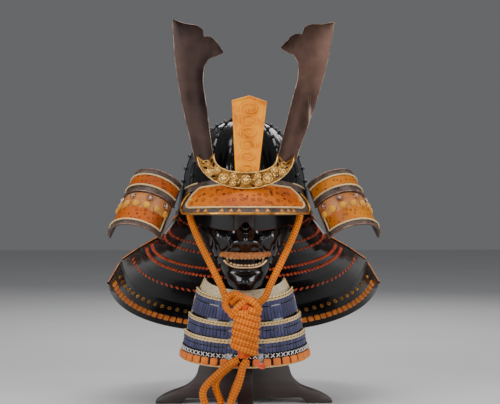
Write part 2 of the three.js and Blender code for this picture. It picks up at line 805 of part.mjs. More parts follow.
// The wound knot: turns of cord lying side by side round two standing strands
function knotSurface(u, v) {
  const angle = 2 * Math.PI * u;
  const turns = Math.abs(Math.sin(Math.PI * KNOT.wraps * v));
  const swell = 1 - 0.24 * (1 - turns);
  const x = blend(3, -3, v) + KNOT.halfWidth * swell * Math.sin(angle);
  const slant = -4 * Math.sin(angle);
  return at(x, KNOT.y - KNOT.halfDepth * swell * Math.cos(angle), blend(KNOT.topZ, KNOT.bottomZ, v) + slant);
}

const cordRadius = CORD.diameter / 2;
add('chin_cord', tube(chinCordRoute(), cordRadius, CORD.sides, 44), ORANGE_CORD);
add('chin_knot', stack(knotSurface, 12, KNOT.wraps * 2), ORANGE_CORD);
add('cord_loop_left', tube(routeOf(LOOP_LEFT), cordRadius, CORD.sides, 14), ORANGE_CORD);
add('cord_loop_right', tube(routeOf(LOOP_RIGHT), cordRadius, CORD.sides, 12), ORANGE_CORD);
add('cord_end', tube(routeOf(FRAYED_END), cordRadius, CORD.sides, 4), ORANGE_CORD);

// ---------- stand ----------

// Flared board on two feet, with a slot for the board that crosses it
function boardShape(slotFrom, slotTo) {
  const { reach, footHeight, arch, thickness } = BOARD;
  const slot = thickness / 2 + GAP;
  const half = POST.width / 2;
  const shape = new THREE.Shape();
  // The ogee from a foot's tip up to the post: its knots and the controls between them
  const knots = [[reach, footHeight], [reach - 42, 25], [79, 62], [half, POST.footZ - GAP]];
  const controls = [[reach - 12, 16], [83, 34], [72, 94]];
  const climb = () => controls.forEach(([x, z], k) => {
    shape.quadraticCurveTo(x, z, ...knots[k + 1]);
  });
  const descend = () => [2, 1, 0].forEach((k) => {
    const [x, z] = controls[k];
    shape.quadraticCurveTo(-x, z, -knots[k][0], knots[k][1]);
  });
  shape.moveTo(slot, slotFrom === 0 ? slotTo : arch);
  if (slotFrom === 0) {
    shape.lineTo(slot, arch);
  }
  shape.lineTo(100, arch);
  shape.lineTo(112, 0);
  shape.lineTo(reach, 0);
  shape.lineTo(reach, footHeight);
  climb();
  if (slotFrom > 0) {
    shape.lineTo(slot, POST.footZ - GAP);
    shape.lineTo(slot, slotFrom);
    shape.lineTo(-slot, slotFrom);
    shape.lineTo(-slot, POST.footZ - GAP);
  }
  shape.lineTo(-half, POST.footZ - GAP);
  descend();
  shape.lineTo(-reach, 0);
  shape.lineTo(-112, 0);
  shape.lineTo(-100, arch);
  if (slotFrom === 0) {
    shape.lineTo(-slot, arch);
    shape.lineTo(-slot, slotTo);
  }
  return shape;
}

const JOINT_Z = 55;
const sideBoard = upright(boardShape(JOINT_Z, POST.footZ), -BOARD.thickness / 2, BOARD.thickness, 5);
const frontBoard = upright(boardShape(0, JOINT_Z + GAP), -BOARD.thickness / 2, BOARD.thickness, 5);
frontBoard.rotateZ(Math.PI / 2);
add('stand_side_board', sideBoard, DARK_WOOD);
add('stand_front_board', frontBoard, DARK_WOOD);

function post() {
  const height = POST.topZ - POST.footZ;
  const geometry = new THREE.BoxGeometry(POST.width, POST.width, height);
  geometry.translate(0, 0, POST.footZ + height / 2);
  return bare(geometry);
}

// Round block whose top fits the hollow of the bowl
function headBlock() {
  const hollow = new THREE.SphereGeometry(1, 20, 14);
  hollow.rotateX(Math.PI / 2);
  const clear = PLATE + 1.5;
  hollow.scale(BOWL.halfWidth - clear, BOWL.halfLength - clear, BOWL.height - clear);
  hollow.applyMatrix4(bowlGroup.matrix);
  const column = new THREE.CylinderGeometry(42, 38, 120, 20);
  column.rotateX(Math.PI / 2);
  column.translate(0, 0, POST.topZ + GAP + 60);
  return geometryOf(solid(column).intersect(solid(hollow)));
}

// Fork from the post whose two prongs stop just behind the cheeks of the mask
function maskBracket() {
  const z = 286;
  const thick = 12;
  const inner = maskFace(54, z + thick / 2, -(MASK_WALL + 1.5));
  const tip = inner.y + 7;
  const back = -POST.width / 2 - GAP;
  const half = [[9, back], [9, -40], [54, -40], [54, tip], [44, tip], [44, -52]];
  const mirrored = half.map(([x, y]) => [-x, y]).reverse();
  const options = { depth: thick, bevelEnabled: false };
  const geometry = new THREE.ExtrudeGeometry(outline([...half, ...mirrored]), options);
  geometry.translate(0, 0, z - thick / 2);
  return bare(geometry);
}

add('stand_post', post(), DARK_WOOD);
add('head_block', headBlock(), DARK_WOOD);
add('mask_bracket', maskBracket(), DARK_WOOD);

// ---------- placing ----------

const CORD_PIECES = ['chin_cord', 'chin_knot', 'cord_loop_left', 'cord_loop_right', 'cord_end'];
const box = new THREE.Box3();
part.updateMatrixWorld(true);
part.traverse((piece) => {
  if (piece.isMesh && !CORD_PIECES.includes(piece.name)) {
    box.expandByObject(piece, true);
  }
});
const centre = box.getCenter(new THREE.Vector3());
part.position.set(-centre.x, -centre.y, -box.min.z);

export default part;
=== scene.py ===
"""Samurai helmet with its face mask, throat guard and chin cord, on a wooden stand.

Sizes are millimetres in the stand's own frame: the post stands at X = 0, Y = 0 and the
face looks along -Y. spot() turns such a place into the part's frame, in metres."""
import random
from math import asin, cos, exp, hypot, pi, radians, sin, sqrt

import bmesh
import bpy
from mathutils import Matrix, Vector


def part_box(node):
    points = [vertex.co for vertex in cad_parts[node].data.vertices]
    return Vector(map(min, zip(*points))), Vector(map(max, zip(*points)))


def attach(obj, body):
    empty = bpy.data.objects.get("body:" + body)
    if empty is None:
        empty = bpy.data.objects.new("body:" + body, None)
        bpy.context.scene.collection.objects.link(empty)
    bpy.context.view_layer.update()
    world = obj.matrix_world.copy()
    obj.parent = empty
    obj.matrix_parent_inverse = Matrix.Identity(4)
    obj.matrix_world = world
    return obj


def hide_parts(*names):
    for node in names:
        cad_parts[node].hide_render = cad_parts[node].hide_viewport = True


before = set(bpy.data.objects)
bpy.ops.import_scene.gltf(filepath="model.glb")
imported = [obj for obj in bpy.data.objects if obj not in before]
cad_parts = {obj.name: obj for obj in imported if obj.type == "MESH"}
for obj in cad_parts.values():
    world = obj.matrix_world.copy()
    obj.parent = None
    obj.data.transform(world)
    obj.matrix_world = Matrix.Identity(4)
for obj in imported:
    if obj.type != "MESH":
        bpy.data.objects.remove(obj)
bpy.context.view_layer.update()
random.seed(7)

# ---------- camera, floor and studio light ----------
# The camera stands level, a little to the left of the face, and looks straight ahead.
# A pale floor and pale walls of light stand round the part.

post_low, post_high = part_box("stand_post")
SHIFT = (post_low.y + post_high.y) / 2
MM = 0.001


def spot(x, y, z):
    return Vector((x * MM, y * MM + SHIFT, z * MM))


camera_data = bpy.data.cameras.new("camera")
camera_data.lens = 78.2
camera_data.sensor_width = 36
camera_data.clip_end = 50
camera = bpy.data.objects.new("camera", camera_data)
camera.location = spot(-40, -1900, 350)
camera.rotation_euler = (radians(90), 0, radians(-1.523))
bpy.context.collection.objects.link(camera)
bpy.context.scene.camera = camera

world = bpy.data.worlds.new("studio")
world.use_nodes = True
glow = world.node_tree.nodes["Background"].inputs
glow["Color"].default_value = (0.86, 0.87, 0.9, 1)
glow["Strength"].default_value = 0.16
bpy.context.scene.world = world

# Name, place, width and height in metres, and watts
SOFT_BOXES = [
    ("light_left", (-1500, -1300, 1150), (0.8, 1.3), 24),
    ("light_right", (1500, -1200, 1000), (0.7, 1.2), 20),
    ("light_top", (0, -350, 1900), (1.2, 0.7), 12),
    ("strip_left", (-620, -2100, 330), (0.22, 1.3), 7),
    ("strip_right", (640, -2100, 330), (0.22, 1.3), 6),
    ("light_back", (300, 1500, 1400), (1.5, 1.0), 12),
]
for name, place, sides, watts in SOFT_BOXES:
    lamp = bpy.data.lights.new(name, "AREA")
    lamp.shape = "RECTANGLE"
    lamp.size, lamp.size_y = sides
    lamp.energy = watts
    holder = bpy.data.objects.new(name, lamp)
    holder.location = spot(*place)
    aim = spot(0, -40, 330) - holder.location
    holder.rotation_euler = aim.to_track_quat("-Z", "Y").to_euler()
    bpy.context.collection.objects.link(holder)


def finish_named(name, **sockets):
    """A finish whose shader starts from these socket values."""
    made = bpy.data.materials.new(name)
    made.use_nodes = True
    shader = made.node_tree.nodes["Principled BSDF"]
    for key, value in sockets.items():
        shader.inputs[key.replace("_", " ")].default_value = value
    return made


def node(finish, kind, inputs=(), **settings):
    """A node of the finish; an input is a number, a colour or another node's output."""
    made = finish.node_tree.nodes.new("ShaderNode" + kind)
    for key, value in settings.items():
        setattr(made, key, value)
    for key, value in dict(inputs).items():
        feed(finish, made.inputs[key], value)
    return made


def feed(finish, socket, value):
    if isinstance(value, bpy.types.NodeSocket):
        finish.node_tree.links.new(value, socket)
    else:
        socket.default_value = value


def shade(finish, **sockets):
    """Leads outputs into the finish's shader."""
    shader = finish.node_tree.nodes["Principled BSDF"]
    for key, value in sockets.items():
        feed(finish, shader.inputs[key.replace("_", " ")], value)


def where(finish):
    return node(finish, "TexCoord").outputs["Object"]


def grain(finish, scale, detail=4.0, seed=0.0, stretch=(1, 1, 1)):
    """Cloudy noise from 0 to 1, fixed to the piece."""
    place = node(finish, "Mapping", {"Vector": where(finish), "Location": (seed, seed, 0),
                                     "Scale": stretch}).outputs["Vector"]
    return node(finish, "TexNoise", {"Vector": place, "Scale": scale, "Detail": detail,
                                     "Roughness": 0.55}).outputs[0]


def ramp(finish, factor, *stops):
    """Colours or greys between stops (place, colour)."""
    made = node(finish, "ValToRGB", {"Fac": factor})
    line = made.color_ramp
    while len(line.elements) < len(stops):
        line.elements.new(0.5)
    for element, (place, colour) in zip(line.elements, stops):
        element.position = place
        element.color = (*colour, 1) if hasattr(colour, "__len__") else (colour,) * 3 + (1,)
    return made.outputs["Color"]


def blended(finish, factor, first, second, mode="MIX"):
    made = node(finish, "Mix", data_type="RGBA", blend_type=mode)
    feed(finish, made.inputs[0], factor)
    for socket, value in ((made.inputs[6], first), (made.inputs[7], second)):
        feed(finish, socket, (*value, 1) if isinstance(value, tuple) else value)
    return made.outputs[2]


def calc(finish, operation, first, second):
    made = node(finish, "Math", operation=operation)
    feed(finish, made.inputs[0], first)
    feed(finish, made.inputs[1], second)
    return made.outputs[0]


def weighed(finish, first, share, second, other):
    """Two heights or tones added up, each times its share."""
    return calc(finish, "ADD", calc(finish, "MULTIPLY", first, share),
                calc(finish, "MULTIPLY", second, other))


def raised(finish, height, strength, depth):
    """Bump from a height of 0 to 1, the depth in metres."""
    return node(finish, "Bump", {"Height": height, "Strength": strength,
                                 "Distance": depth}).outputs["Normal"]


def toned(name, noise, stops, rough=(), bump=(), **sockets):
    """A finish whose colour, and roughness if given, run between stops along one noise.
    noise is what grain() takes; bump is another noise, its strength and its depth."""
    made = finish_named(name, **sockets)
    tone = grain(made, *noise)
    shade(made, Base_Color=ramp(made, tone, *stops))
    if rough:
        shade(made, Roughness=ramp(made, tone, *rough))
    if bump:
        shade(made, Normal=raised(made, grain(made, *bump[0]), *bump[1:]))
    return made


pale = toned("studio_pale", (3,), [(0.2, (0.7, 0.7, 0.71)), (0.8, (0.76, 0.76, 0.76))],
             Roughness=0.8)
floor_mesh = bpy.data.meshes.new("floor")
bm = bmesh.new()
bmesh.ops.create_grid(bm, x_segments=1, y_segments=1, size=6)
bmesh.ops.translate(bm, verts=bm.verts, vec=(0, 0, -0.0005))
bm.to_mesh(floor_mesh)
bm.free()
floor = bpy.data.objects.new("floor", floor_mesh)
floor_mesh.materials.append(pale)
bpy.context.collection.objects.link(floor)

# ---------- chin cord, its wound knot and two hanging loops ----------
# One plaited cord of orange silk, 12 mm thick, ties the mask and helmet on. It runs from the
# knot up past one cheek, round the back of the head inside the bowl, and down to the knot.

CORD_WIDTH = 12
CLIMB = [
    (21, -128, 184), (33, -124, 196), (40, -118, 212), (52, -110, 236), (67, -103, 266),
    (82, -92, 298), (92, -80, 326), (92, -62, 346), (94, -36, 350),
]
ROUND_HEAD = [(96 * sqrt(1 - (y / 107) ** 2), y, 347 - 0.08 * y) for y in (-8, 20, 48, 74, 90)]
HALF_CORD = CLIMB + ROUND_HEAD
CHIN_CORD = HALF_CORD + [(0, 101, 339)] + [(-x, y, z) for x, y, z in reversed(HALF_CORD)]
LOOP_LEFT = [
    (-12, -141, 95), (-28, -142, 87), (-44, -143, 73), (-60, -143, 58), (-69, -142, 44),
    (-68, -141, 29), (-62, -138, 16), (-53, -134, 9), (-44, -130, 13), (-41, -127, 25),
    (-46, -126, 38), (-49, -127, 52), (-42, -129, 67), (-28, -131, 80), (-14, -132, 93),
]
LOOP_RIGHT = [
    (2, -142, 95), (-4, -143, 86), (-8, -144, 70), (-13, -144, 52), (-20, -143, 36),
    (-25, -142, 22), (-28, -139, 11), (-28, -133, 8), (-26, -128, 16), (-23, -126, 29),
    (-18, -127, 44), (-12, -130, 60), (-6, -132, 77), (1, -135, 91),
]
KNOT = {"turns": 6.5, "across": 17.5, "deep": 9, "top": 177, "foot": 107, "y": -142}


def smooth_line(places, step):
    """Evenly spaced points, about step apart, on a smooth line through the places."""
    ends = [2 * places[0] - places[1], *places, 2 * places[-1] - places[-2]]
    dense = []
    for a, b, c, d in zip(ends, ends[1:], ends[2:], ends[3:]):
        for k in range(20):
            t = k / 20
            bend = (2 * a - 5 * b + 4 * c - d) * t * t + (3 * b - a - 3 * c + d) * t ** 3
            dense.append(0.5 * (2 * b + (c - a) * t + bend))
    dense.append(places[-1])
    run = [0.0]
    for a, b in zip(dense, dense[1:]):
        run.append(run[-1] + (b - a).length)
    count = max(2, round(run[-1] / (step * MM)))
    line, k = [], 0
    for wanted in (run[-1] * i / count for i in range(count + 1)):
        while k < len(run) - 2 and run[k + 1] < wanted:
            k += 1
        share = (wanted - run[k]) / max(run[k + 1] - run[k], 1e-12)
        line.append(dense[k].lerp(dense[k + 1], min(share, 1)))
    return line


def carried_sides(line):
    """A side and an up direction at each point of a line, carried on without a twist."""
    ahead = [(b - a).normalized() for a, b in zip(line, line[1:])]
    ahead.append(ahead[-1])
    side = ahead[0].orthogonal().normalized()
    found = []
    for direction in ahead:
        side = (side - direction * side.dot(direction)).normalized()
        found.append((side, direction.cross(side)))
    return found


def piece_of(bm, name, finish, slot_name, replacing=(), crease=40):
    """Turns the finished bmesh into a piece of the part."""
    mesh = bpy.data.meshes.new(name)
    bm.to_mesh(mesh)
    bm.free()
    mesh.polygons.foreach_set("use_smooth", [True] * len(mesh.polygons))
    mesh.set_sharp_from_angle(angle=radians(crease))
    mesh.materials.append(finish)
    made = bpy.data.objects.new(name, mesh)
    bpy.context.collection.objects.link(made)
    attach(made, "root")
    if replacing:
        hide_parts(*replacing)
    return made


def lay_tube(bm, line, radius_at, sides):
    """Adds a closed tube round a line; radius_at(turn, run) gives the radius in mm and a
    groove from 0 in the hollow to 1 on the crest, turn in radians and run in mm. The groove
    is stored on the tube, and the cord finishes paint shade into its hollows from it."""
    uv = bm.loops.layers.uv.verify()
    groove = bm.verts.layers.float.get("groove") or bm.verts.layers.float.new("groove")
    steps = len(line) - 1
    made = bmesh.ops.create_grid(bm, x_segments=sides, y_segments=steps, size=0.5)["verts"]
    frames = carried_sides(line)
    pitch = (line[1] - line[0]).length / MM
    shares = {}
    for vert in made:
        u, k = vert.co.x + 0.5, round((vert.co.y + 0.5) * steps)
        shares[vert] = (u, k * pitch)
        radius, vert[groove] = radius_at(2 * pi * u, k * pitch)
        side, up = frames[k]
        turned = side * cos(2 * pi * u) + up * sin(2 * pi * u)
        vert.co = line[k] + turned * radius * MM
    faces = {face for vert in made for face in vert.link_faces}
    for face in faces:
        for corner in face.loops:
            u, run = shares[corner.vert]
            corner[uv].uv = (u, run / 1000)
    bmesh.ops.remove_doubles(bm, verts=made, dist=1e-7)
    faces = [face for face in faces if face.is_valid]
    rim = [edge for face in faces for edge in face.edges if edge.is_boundary]
    caps = bmesh.ops.holes_fill(bm, edges=list(set(rim)), sides=0)["faces"]
    bmesh.ops.recalc_face_normals(bm, faces=faces + caps)


def plaited(width):
    """Radius of a round plait: strands cross in diamonds along and round it."""
    lumps, length = 4, 9.5

    def radius_at(turn, run):
        along = 2 * pi * run / length
        crest = 0.5 + 0.5 * cos(lumps * turn + along) * cos(lumps * turn - along)
        return width / 2 * (0.84 + 0.2 * crest), crest
    return radius_at


def soiled(finish, colour, noise, *stops):
    """A colour darkened in cloudy patches."""
    return blended(finish, 1.0, colour, ramp(finish, grain(finish, *noise), *stops), "MULTIPLY")


orange_silk = finish_named("orange_silk_cord", Roughness=0.7, Sheen_Weight=0.1,
                           Specular_IOR_Level=0.25)
silk_place = node(orange_silk, "Mapping", {"Vector": node(orange_silk, "UVMap").outputs["UV"],
                                           "Scale": (9, 420, 1)}).outputs["Vector"]
silk_threads = node(orange_silk, "TexWave", {"Vector": silk_place, "Scale": 1.0, "Distortion": 1.5,
                                             "Detail": 2}, bands_direction="DIAGONAL").outputs[0]
# The cord's colour runs from dark red in the hollows between its strands to bright orange on the
# crests: painted shade, mixed with a random tone.
silk_crest = node(orange_silk, "Attribute", attribute_name="groove").outputs["Fac"]
silk_groove_shade_and_tone = weighed(orange_silk, silk_crest, 0.78, grain(orange_silk, 240), 0.25)
silk_shaded_colour = ramp(orange_silk, silk_groove_shade_and_tone, (0.1, (0.34, 0.015, 0.0)), (0.34, (0.72, 0.075, 0.0)),
                   (0.5, (0.85, 0.2, 0.0)), (0.8, (0.95, 0.36, 0.0)))
shade(orange_silk, Normal=raised(orange_silk, silk_threads, 0.55, 0.0006),
      Base_Color=soiled(orange_silk, silk_shaded_colour, (14, 4, 3), (0.36, 0.62), (0.62, 1.0)))


def through(places, step=1.4):
    return smooth_line([spot(*place) for place in places], step)


def cord_piece(name, places, replacing, **facts):
    line = through(places)
    bm = bmesh.new()
    lay_tube(bm, line, plaited(CORD_WIDTH), 24)
    made = piece_of(bm, name, orange_silk, "orange_cord", replacing, crease=80)
    return made


def knot_place(turn, out):
    share = turn / KNOT["turns"]
    angle = 2 * pi * turn
    x = 3 - 6 * share + (KNOT["across"] + out) * sin(angle)
    y = KNOT["y"] - (KNOT["deep"] + out) * cos(angle)
    return x, y, KNOT["top"] + (KNOT["foot"] - KNOT["top"]) * share - 4 * sin(angle)


cord_piece("cord_round_head", CHIN_CORD, ["chin_cord"], far_end="knot", stiffness="limp",
           lay="hanging")
# Over the top of the knot the two ends cross, and a small bight of cord stands out left of it
CROSSINGS = [
    [(21, -127, 184), (10, -136, 190), (-6, -145, 186), (-17, -148, 176), (-24, -142, 165)],
    [(-21, -127, 184), (-12, -133, 194), (2, -143, 194), (14, -150, 186), (23, -147, 174)],
    [(-4, -137, 196), (-18, -131, 200), (-30, -130, 194), (-33, -133, 182), (-26, -140, 173),
     (-12, -148, 170), (4, -153, 170)],
]
bm = bmesh.new()
for places in CROSSINGS:
    lay_tube(bm, through(places), plaited(CORD_WIDTH * 0.96), 24)
crossing_ends = piece_of(bm, "cord_knot_crossings", orange_silk, "orange_cord", crease=80)
turns = [knot_place(k / 16, 0) for k in range(int(KNOT["turns"] * 16) + 1)]
cord_piece("cord_knot", turns, ["chin_knot"], far_end="knot", stiffness="limp", lay="coiled",
           with_pieces=[crossing_ends])

FRAYED = [(14, -149, 96), (16, -152, 91), (21, -154, 87), (28, -154, 86), (35, -152, 87)]
red_fringe = toned("red_silk_fringe", (260,),
                   [(0.3, (0.45, 0.03, 0.006)), (0.7, (0.85, 0.13, 0.02))],
                   Roughness=0.7, Sheen_Weight=0.3)
bm = bmesh.new()
for k in range(46):
    drift = Vector([random.uniform(-1, 1) for _ in range(3)])
    reach = random.uniform(0.75, 1.0)
    strand = [spot(*place) + drift * (0.6 + 1.1 * i) * MM for i, place in enumerate(FRAYED)]
    strand = smooth_line(strand, 2.2)
    strand = strand[: max(4, int(len(strand) * reach))]
    lay_tube(bm, strand, lambda turn, run: (0.65, 0.5), 4)
frayed_end = piece_of(bm, "cord_frayed_end", red_fringe, "orange_cord", ["cord_end"])

cord_piece("cord_hanging_left", LOOP_LEFT, ["cord_loop_left"], far_end="knot", stiffness="limp",
           lay="hanging")
cord_piece("cord_hanging_right", LOOP_RIGHT, ["cord_loop_right"], far_end="knot", stiffness="limp",
           lay="hanging", with_pieces=[frayed_end])

bm = bmesh.new()
core = through([(3, KNOT["y"], 184), (0, KNOT["y"], 142), (-3, KNOT["y"], 98)], 2)
lay_tube(bm, core, lambda turn, run: (12 * sqrt(cos(turn) ** 2 + 0.25 * sin(turn) ** 2), 0.3), 16)
piece_of(bm, "cord_knot_core", orange_silk, "orange_cord")

# ---------- helmet bowl with its ribs and rivets ----------
# The bowl is riveted up from sixteen iron plates whose turned edges stand up as thin ribs,
# each with a row of round rivets. All of it is coated in glossy black lacquer.

BOWL = {"half_width": 106, "half_length": 120, "height": 130, "base": 365, "tilt": 12}
RIBS = 16


def tilted(x, y, z):
    """A place given in the bowl's own frame, whose front is tipped up."""
    turn = radians(BOWL["tilt"])
    return spot(x, y * cos(turn) + z * sin(turn), z * cos(turn) - y * sin(turn) + BOWL["base"])


def on_dome(azimuth, latitude, proud=0.0):
    spread = cos(radians(latitude))
    return tilted((BOWL["half_width"] + proud) * spread * sin(azimuth),
                  -(BOWL["half_length"] + proud) * spread * cos(azimuth),
                  (BOWL["height"] + proud) * sin(radians(latitude)))


def bowl_face(u, v):
    """The bowl's outside: plates a little crowned between ribs that fade at the crown."""
    from_rib = abs(((u * RIBS) % 1) - 0.5)
    degrees = from_rib * 360 / RIBS
    fade = 1 - 0.6 * max(v - 0.8, 0) / 0.2
    crowned = 0.7 * sin(pi * min(degrees / 11.25, 1)) * cos(v * 1.3)
    return on_dome(2 * pi * u, 78 * v, crowned + 2.1 * fade * exp(-(degrees / 0.95) ** 4))


def spread_grid(bm, face_at, columns, rows, core):
    """Adds a sheet of columns by rows over face_at(u, v), facing away from core."""
    uv = bm.loops.layers.uv.verify()
    made = bmesh.ops.create_grid(bm, x_segments=columns, y_segments=rows, size=0.5)["verts"]
    shares = {vert: (vert.co.x + 0.5, vert.co.y + 0.5) for vert in made}
    for vert, (u, v) in shares.items():
        vert.co = face_at(u, v)
    faces = list({face for vert in made for face in vert.link_faces})
    for face in faces:
        for corner in face.loops:
            corner[uv].uv = shares[corner.vert]
    bmesh.ops.remove_doubles(bm, verts=made, dist=1e-7)
    faces = [face for face in faces if face.is_valid]
    facing = sum(face.normal.dot(face.calc_center_median() - core) * face.calc_area()
                 for face in faces if not face.normal_update())
    if facing < 0:
        bmesh.ops.reverse_faces(bm, faces=faces)
    return faces


def plate(name, face_at, columns, rows, thickness, core, finish, slot_name, replacing=(),
          crease=40):
    """A plate of even thickness whose outside is face_at(u, v)."""
    bm = bmesh.new()
    faces = spread_grid(bm, face_at, columns, rows, core)
    bmesh.ops.solidify(bm, geom=faces, thickness=thickness * MM)
    return piece_of(bm, name, finish, slot_name, replacing, crease)


def knob(bm, seat, size, detail=2):
    """Adds a rounded lump on a seat; size is its length along, across and up, in mm."""
    scale = Matrix.Diagonal((*(side / 2 * MM for side in size), 1))
    bmesh.ops.create_icosphere(bm, subdivisions=detail, radius=1, matrix=seat @ scale)


def seat_at(place, along, out):
    """A seat whose X runs along and whose Z points out."""
    out = out.normalized()
    across = out.cross(along).normalized()
    along = across.cross(out)
    seat = Matrix((along, across, out)).transposed().to_4x4()
    seat.translation = place
    return seat


def seat_on(face_at, u, v, core, lift=0.0, spin=0.0):
    """A seat on a surface, X along u turned by spin, Z out of it, lifted in mm."""
    step = 1e-3
    along = face_at(u + step, v) - face_at(u - step, v)
    down = face_at(u, v + step) - face_at(u, v - step)
    out = along.cross(down).normalized()
    place = face_at(u, v)
    if out.dot(place - core) < 0:
        out.negate()
    return seat_at(place + out * lift * MM, along, out) @ Matrix.Rotation(spin, 4, "Z")


def set_out(name, add, parts, finish, slot_name, replacing=()):
    """One piece of small parts, each what add() takes after the mesh: a seat and its sizes."""
    bm = bmesh.new()
    for part in parts:
        add(bm, *part)
    return piece_of(bm, name, finish, slot_name, replacing)


lacquer = toned("black_lacquer", (9, 6, 2),
                [(0.35, (0.002, 0.0017, 0.0025)), (0.75, (0.007, 0.0055, 0.006))],
                [(0.3, 0.1), (0.75, 0.26)], ((55, 2), 0.12, 0.0012),
                Coat_Weight=0.35, Coat_Roughness=0.06, Specular_IOR_Level=0.4)
HEAD_CORE = tilted(0, 0, 0)
plate("bowl_plates", bowl_face, 384, 30, 2.5, HEAD_CORE, lacquer, "black_lacquer", ["bowl"])
rivets = []
for rib in range(RIBS):
    for k in range(7):
        place = on_dome(2 * pi * (rib + 0.5) / RIBS, 7 + 10.2 * k, 2.1)
        across = 7.2 - 0.4 * k
        rivets.append((seat_at(place, Vector((0, 0, 1)), place - HEAD_CORE), (across, across, 8.5)))
set_out("bowl_rivets", knob, rivets, lacquer, "black_lacquer")

# ---------- crown ring ----------
# A gilt ring of stepped petals closes the hole at the top of the bowl.

gilt = toned("old_gilt", (70, 6, 5),
             [(0.3, (0.16, 0.055, 0.012)), (0.47, (0.6, 0.27, 0.045)), (0.75, (0.92, 0.52, 0.13))],
             [(0.3, 0.55), (0.6, 0.27)], ((420, 3), 0.35, 0.0004), Metallic=1.0)
# Radius and height round the ring's section
CROWN_STEPS = [(17, 129.4), (28, 127.4), (30, 129.4), (28.5, 131.6), (25, 133), (22, 135),
               (20, 135), (17, 129.4)]


def mixed(first, second, share):
    """Each number of first moved towards its fellow in second."""
    return tuple(a + (b - a) * share for a, b in zip(first, second))


def row_at(rows, v):
    """The row at v, from 0 to 1 down a table, mixed from the two next to it."""
    place = min(max(v, 0), 1) * (len(rows) - 1)
    k = min(int(place), len(rows) - 2)
    return mixed(rows[k], rows[k + 1], place - k)


def crown_face(u, v):
    radius, height = row_at(CROWN_STEPS, v)
    out = radius - 0.9 + 0.9 * abs(sin(12 * pi * u)) * (1 if 22 < radius else 0)
    return tilted(out * sin(2 * pi * u), -out * cos(2 * pi * u), height)


bm = bmesh.new()
spread_grid(bm, crown_face, 144, 14, tilted(0, 0, 100))
bmesh.ops.remove_doubles(bm, verts=bm.verts, dist=1e-6)
bmesh.ops.recalc_face_normals(bm, faces=bm.faces)
piece_of(bm, "crown_ring_petals", gilt, "gilt", ["crown_ring"])

# ---------- brow band ----------
# A band of grey-brown smoked leather runs round under the bowl, with a pale cord on its edge.

grey_leather = toned("grey_leather", (60, 5, 9),
                     [(0.36, (0.035, 0.015, 0.008)), (0.47, (0.075, 0.05, 0.04)),
                      (0.72, (0.14, 0.1, 0.085))],
                     [(0.3, 0.5), (0.7, 0.72)], ((700, 3), 0.4, 0.0005), Roughness=0.62)


def under_bowl(azimuth, proud, z):
    return tilted((BOWL["half_width"] + proud) * sin(azimuth),
                  -(BOWL["half_length"] + proud) * cos(azimuth), z)


def brow_face(u, v):
    return under_bowl(2 * pi * u, 1 + v + 0.8 * exp(-((v - 0.9) / 0.12) ** 2), -0.4 - 11.5 * v)


plate("brow_band_leather", brow_face, 160, 8, 2.5, HEAD_CORE, grey_leather, "grey_leather",
      ["brow_band"], crease=60)


def twisted(width, length):
    """Radius of a cord of two strands, each winding once in twice the length."""
    def radius_at(turn, run):
        crest = abs(cos(turn + pi * run / length))
        return width / 2 * (0.8 + 0.22 * crest), crest
    return radius_at


cream_cord = finish_named("cream_twisted_cord", Roughness=0.7, Sheen_Weight=0.2)
# The cord's colour runs from dark brown in the hollows between its strands to pale cream on the
# crests: painted shade.
cream_crest = node(cream_cord, "Attribute", attribute_name="groove").outputs["Fac"]
cream_shaded_colour = ramp(cream_cord, cream_crest, (0.12, (0.28, 0.09, 0.012)),
                    (0.5, (0.72, 0.46, 0.17)), (0.95, (0.92, 0.73, 0.38)))
shade(cream_cord, Normal=raised(cream_cord, grain(cream_cord, 900, 2), 0.3, 0.0004),
      Base_Color=soiled(cream_cord, cream_shaded_colour, (40,), (0.35, 0.72), (0.6, 1.0)))


def trim(name, lines, width, finish, slot_name, twist=4.5, sides=8, replacing=()):
    """Cords or bare wires laid along lines; twist 0 leaves them plain."""
    bm = bmesh.new()
    for places in lines:
        radius_at = twisted(width, twist) if twist else (lambda turn, run: (width / 2, 0.8))
        lay_tube(bm, smooth_line(places, 0.9 if twist else 3), radius_at, sides)
    return piece_of(bm, name, finish, slot_name, replacing, crease=70)


brow_edge = [under_bowl(2 * pi * k / 60, 1.9, -0.6) for k in range(8, 53)]
trim("brow_band_cord", [brow_edge], 2.6, cream_cord, "cream_braid")

# ---------- visor ----------
# A curved iron peak covered in orange printed leather. A pale twisted cord frames it, and
# outside that lie a grey leather border and a thin gilt rim, with a stud at each corner.


def visor_face(u, v, proud=0.0):
    share = 2 * u - 1
    azimuth = radians(45 * share)
    root = under_bowl(azimuth, 4.5 + proud, -10)
    angle = radians(60 * share)
    edge = spot((106 + proud) * sin(angle) / sin(radians(60)),
                -165 - proud + 130 * (1 - cos(angle)), 330 + 0.4 * proud)
    swell = sin(pi * min(max(v, 0), 1))
    return root.lerp(edge, v) + Vector((7 * swell * share ** 3, 0, 2 * swell)) * MM


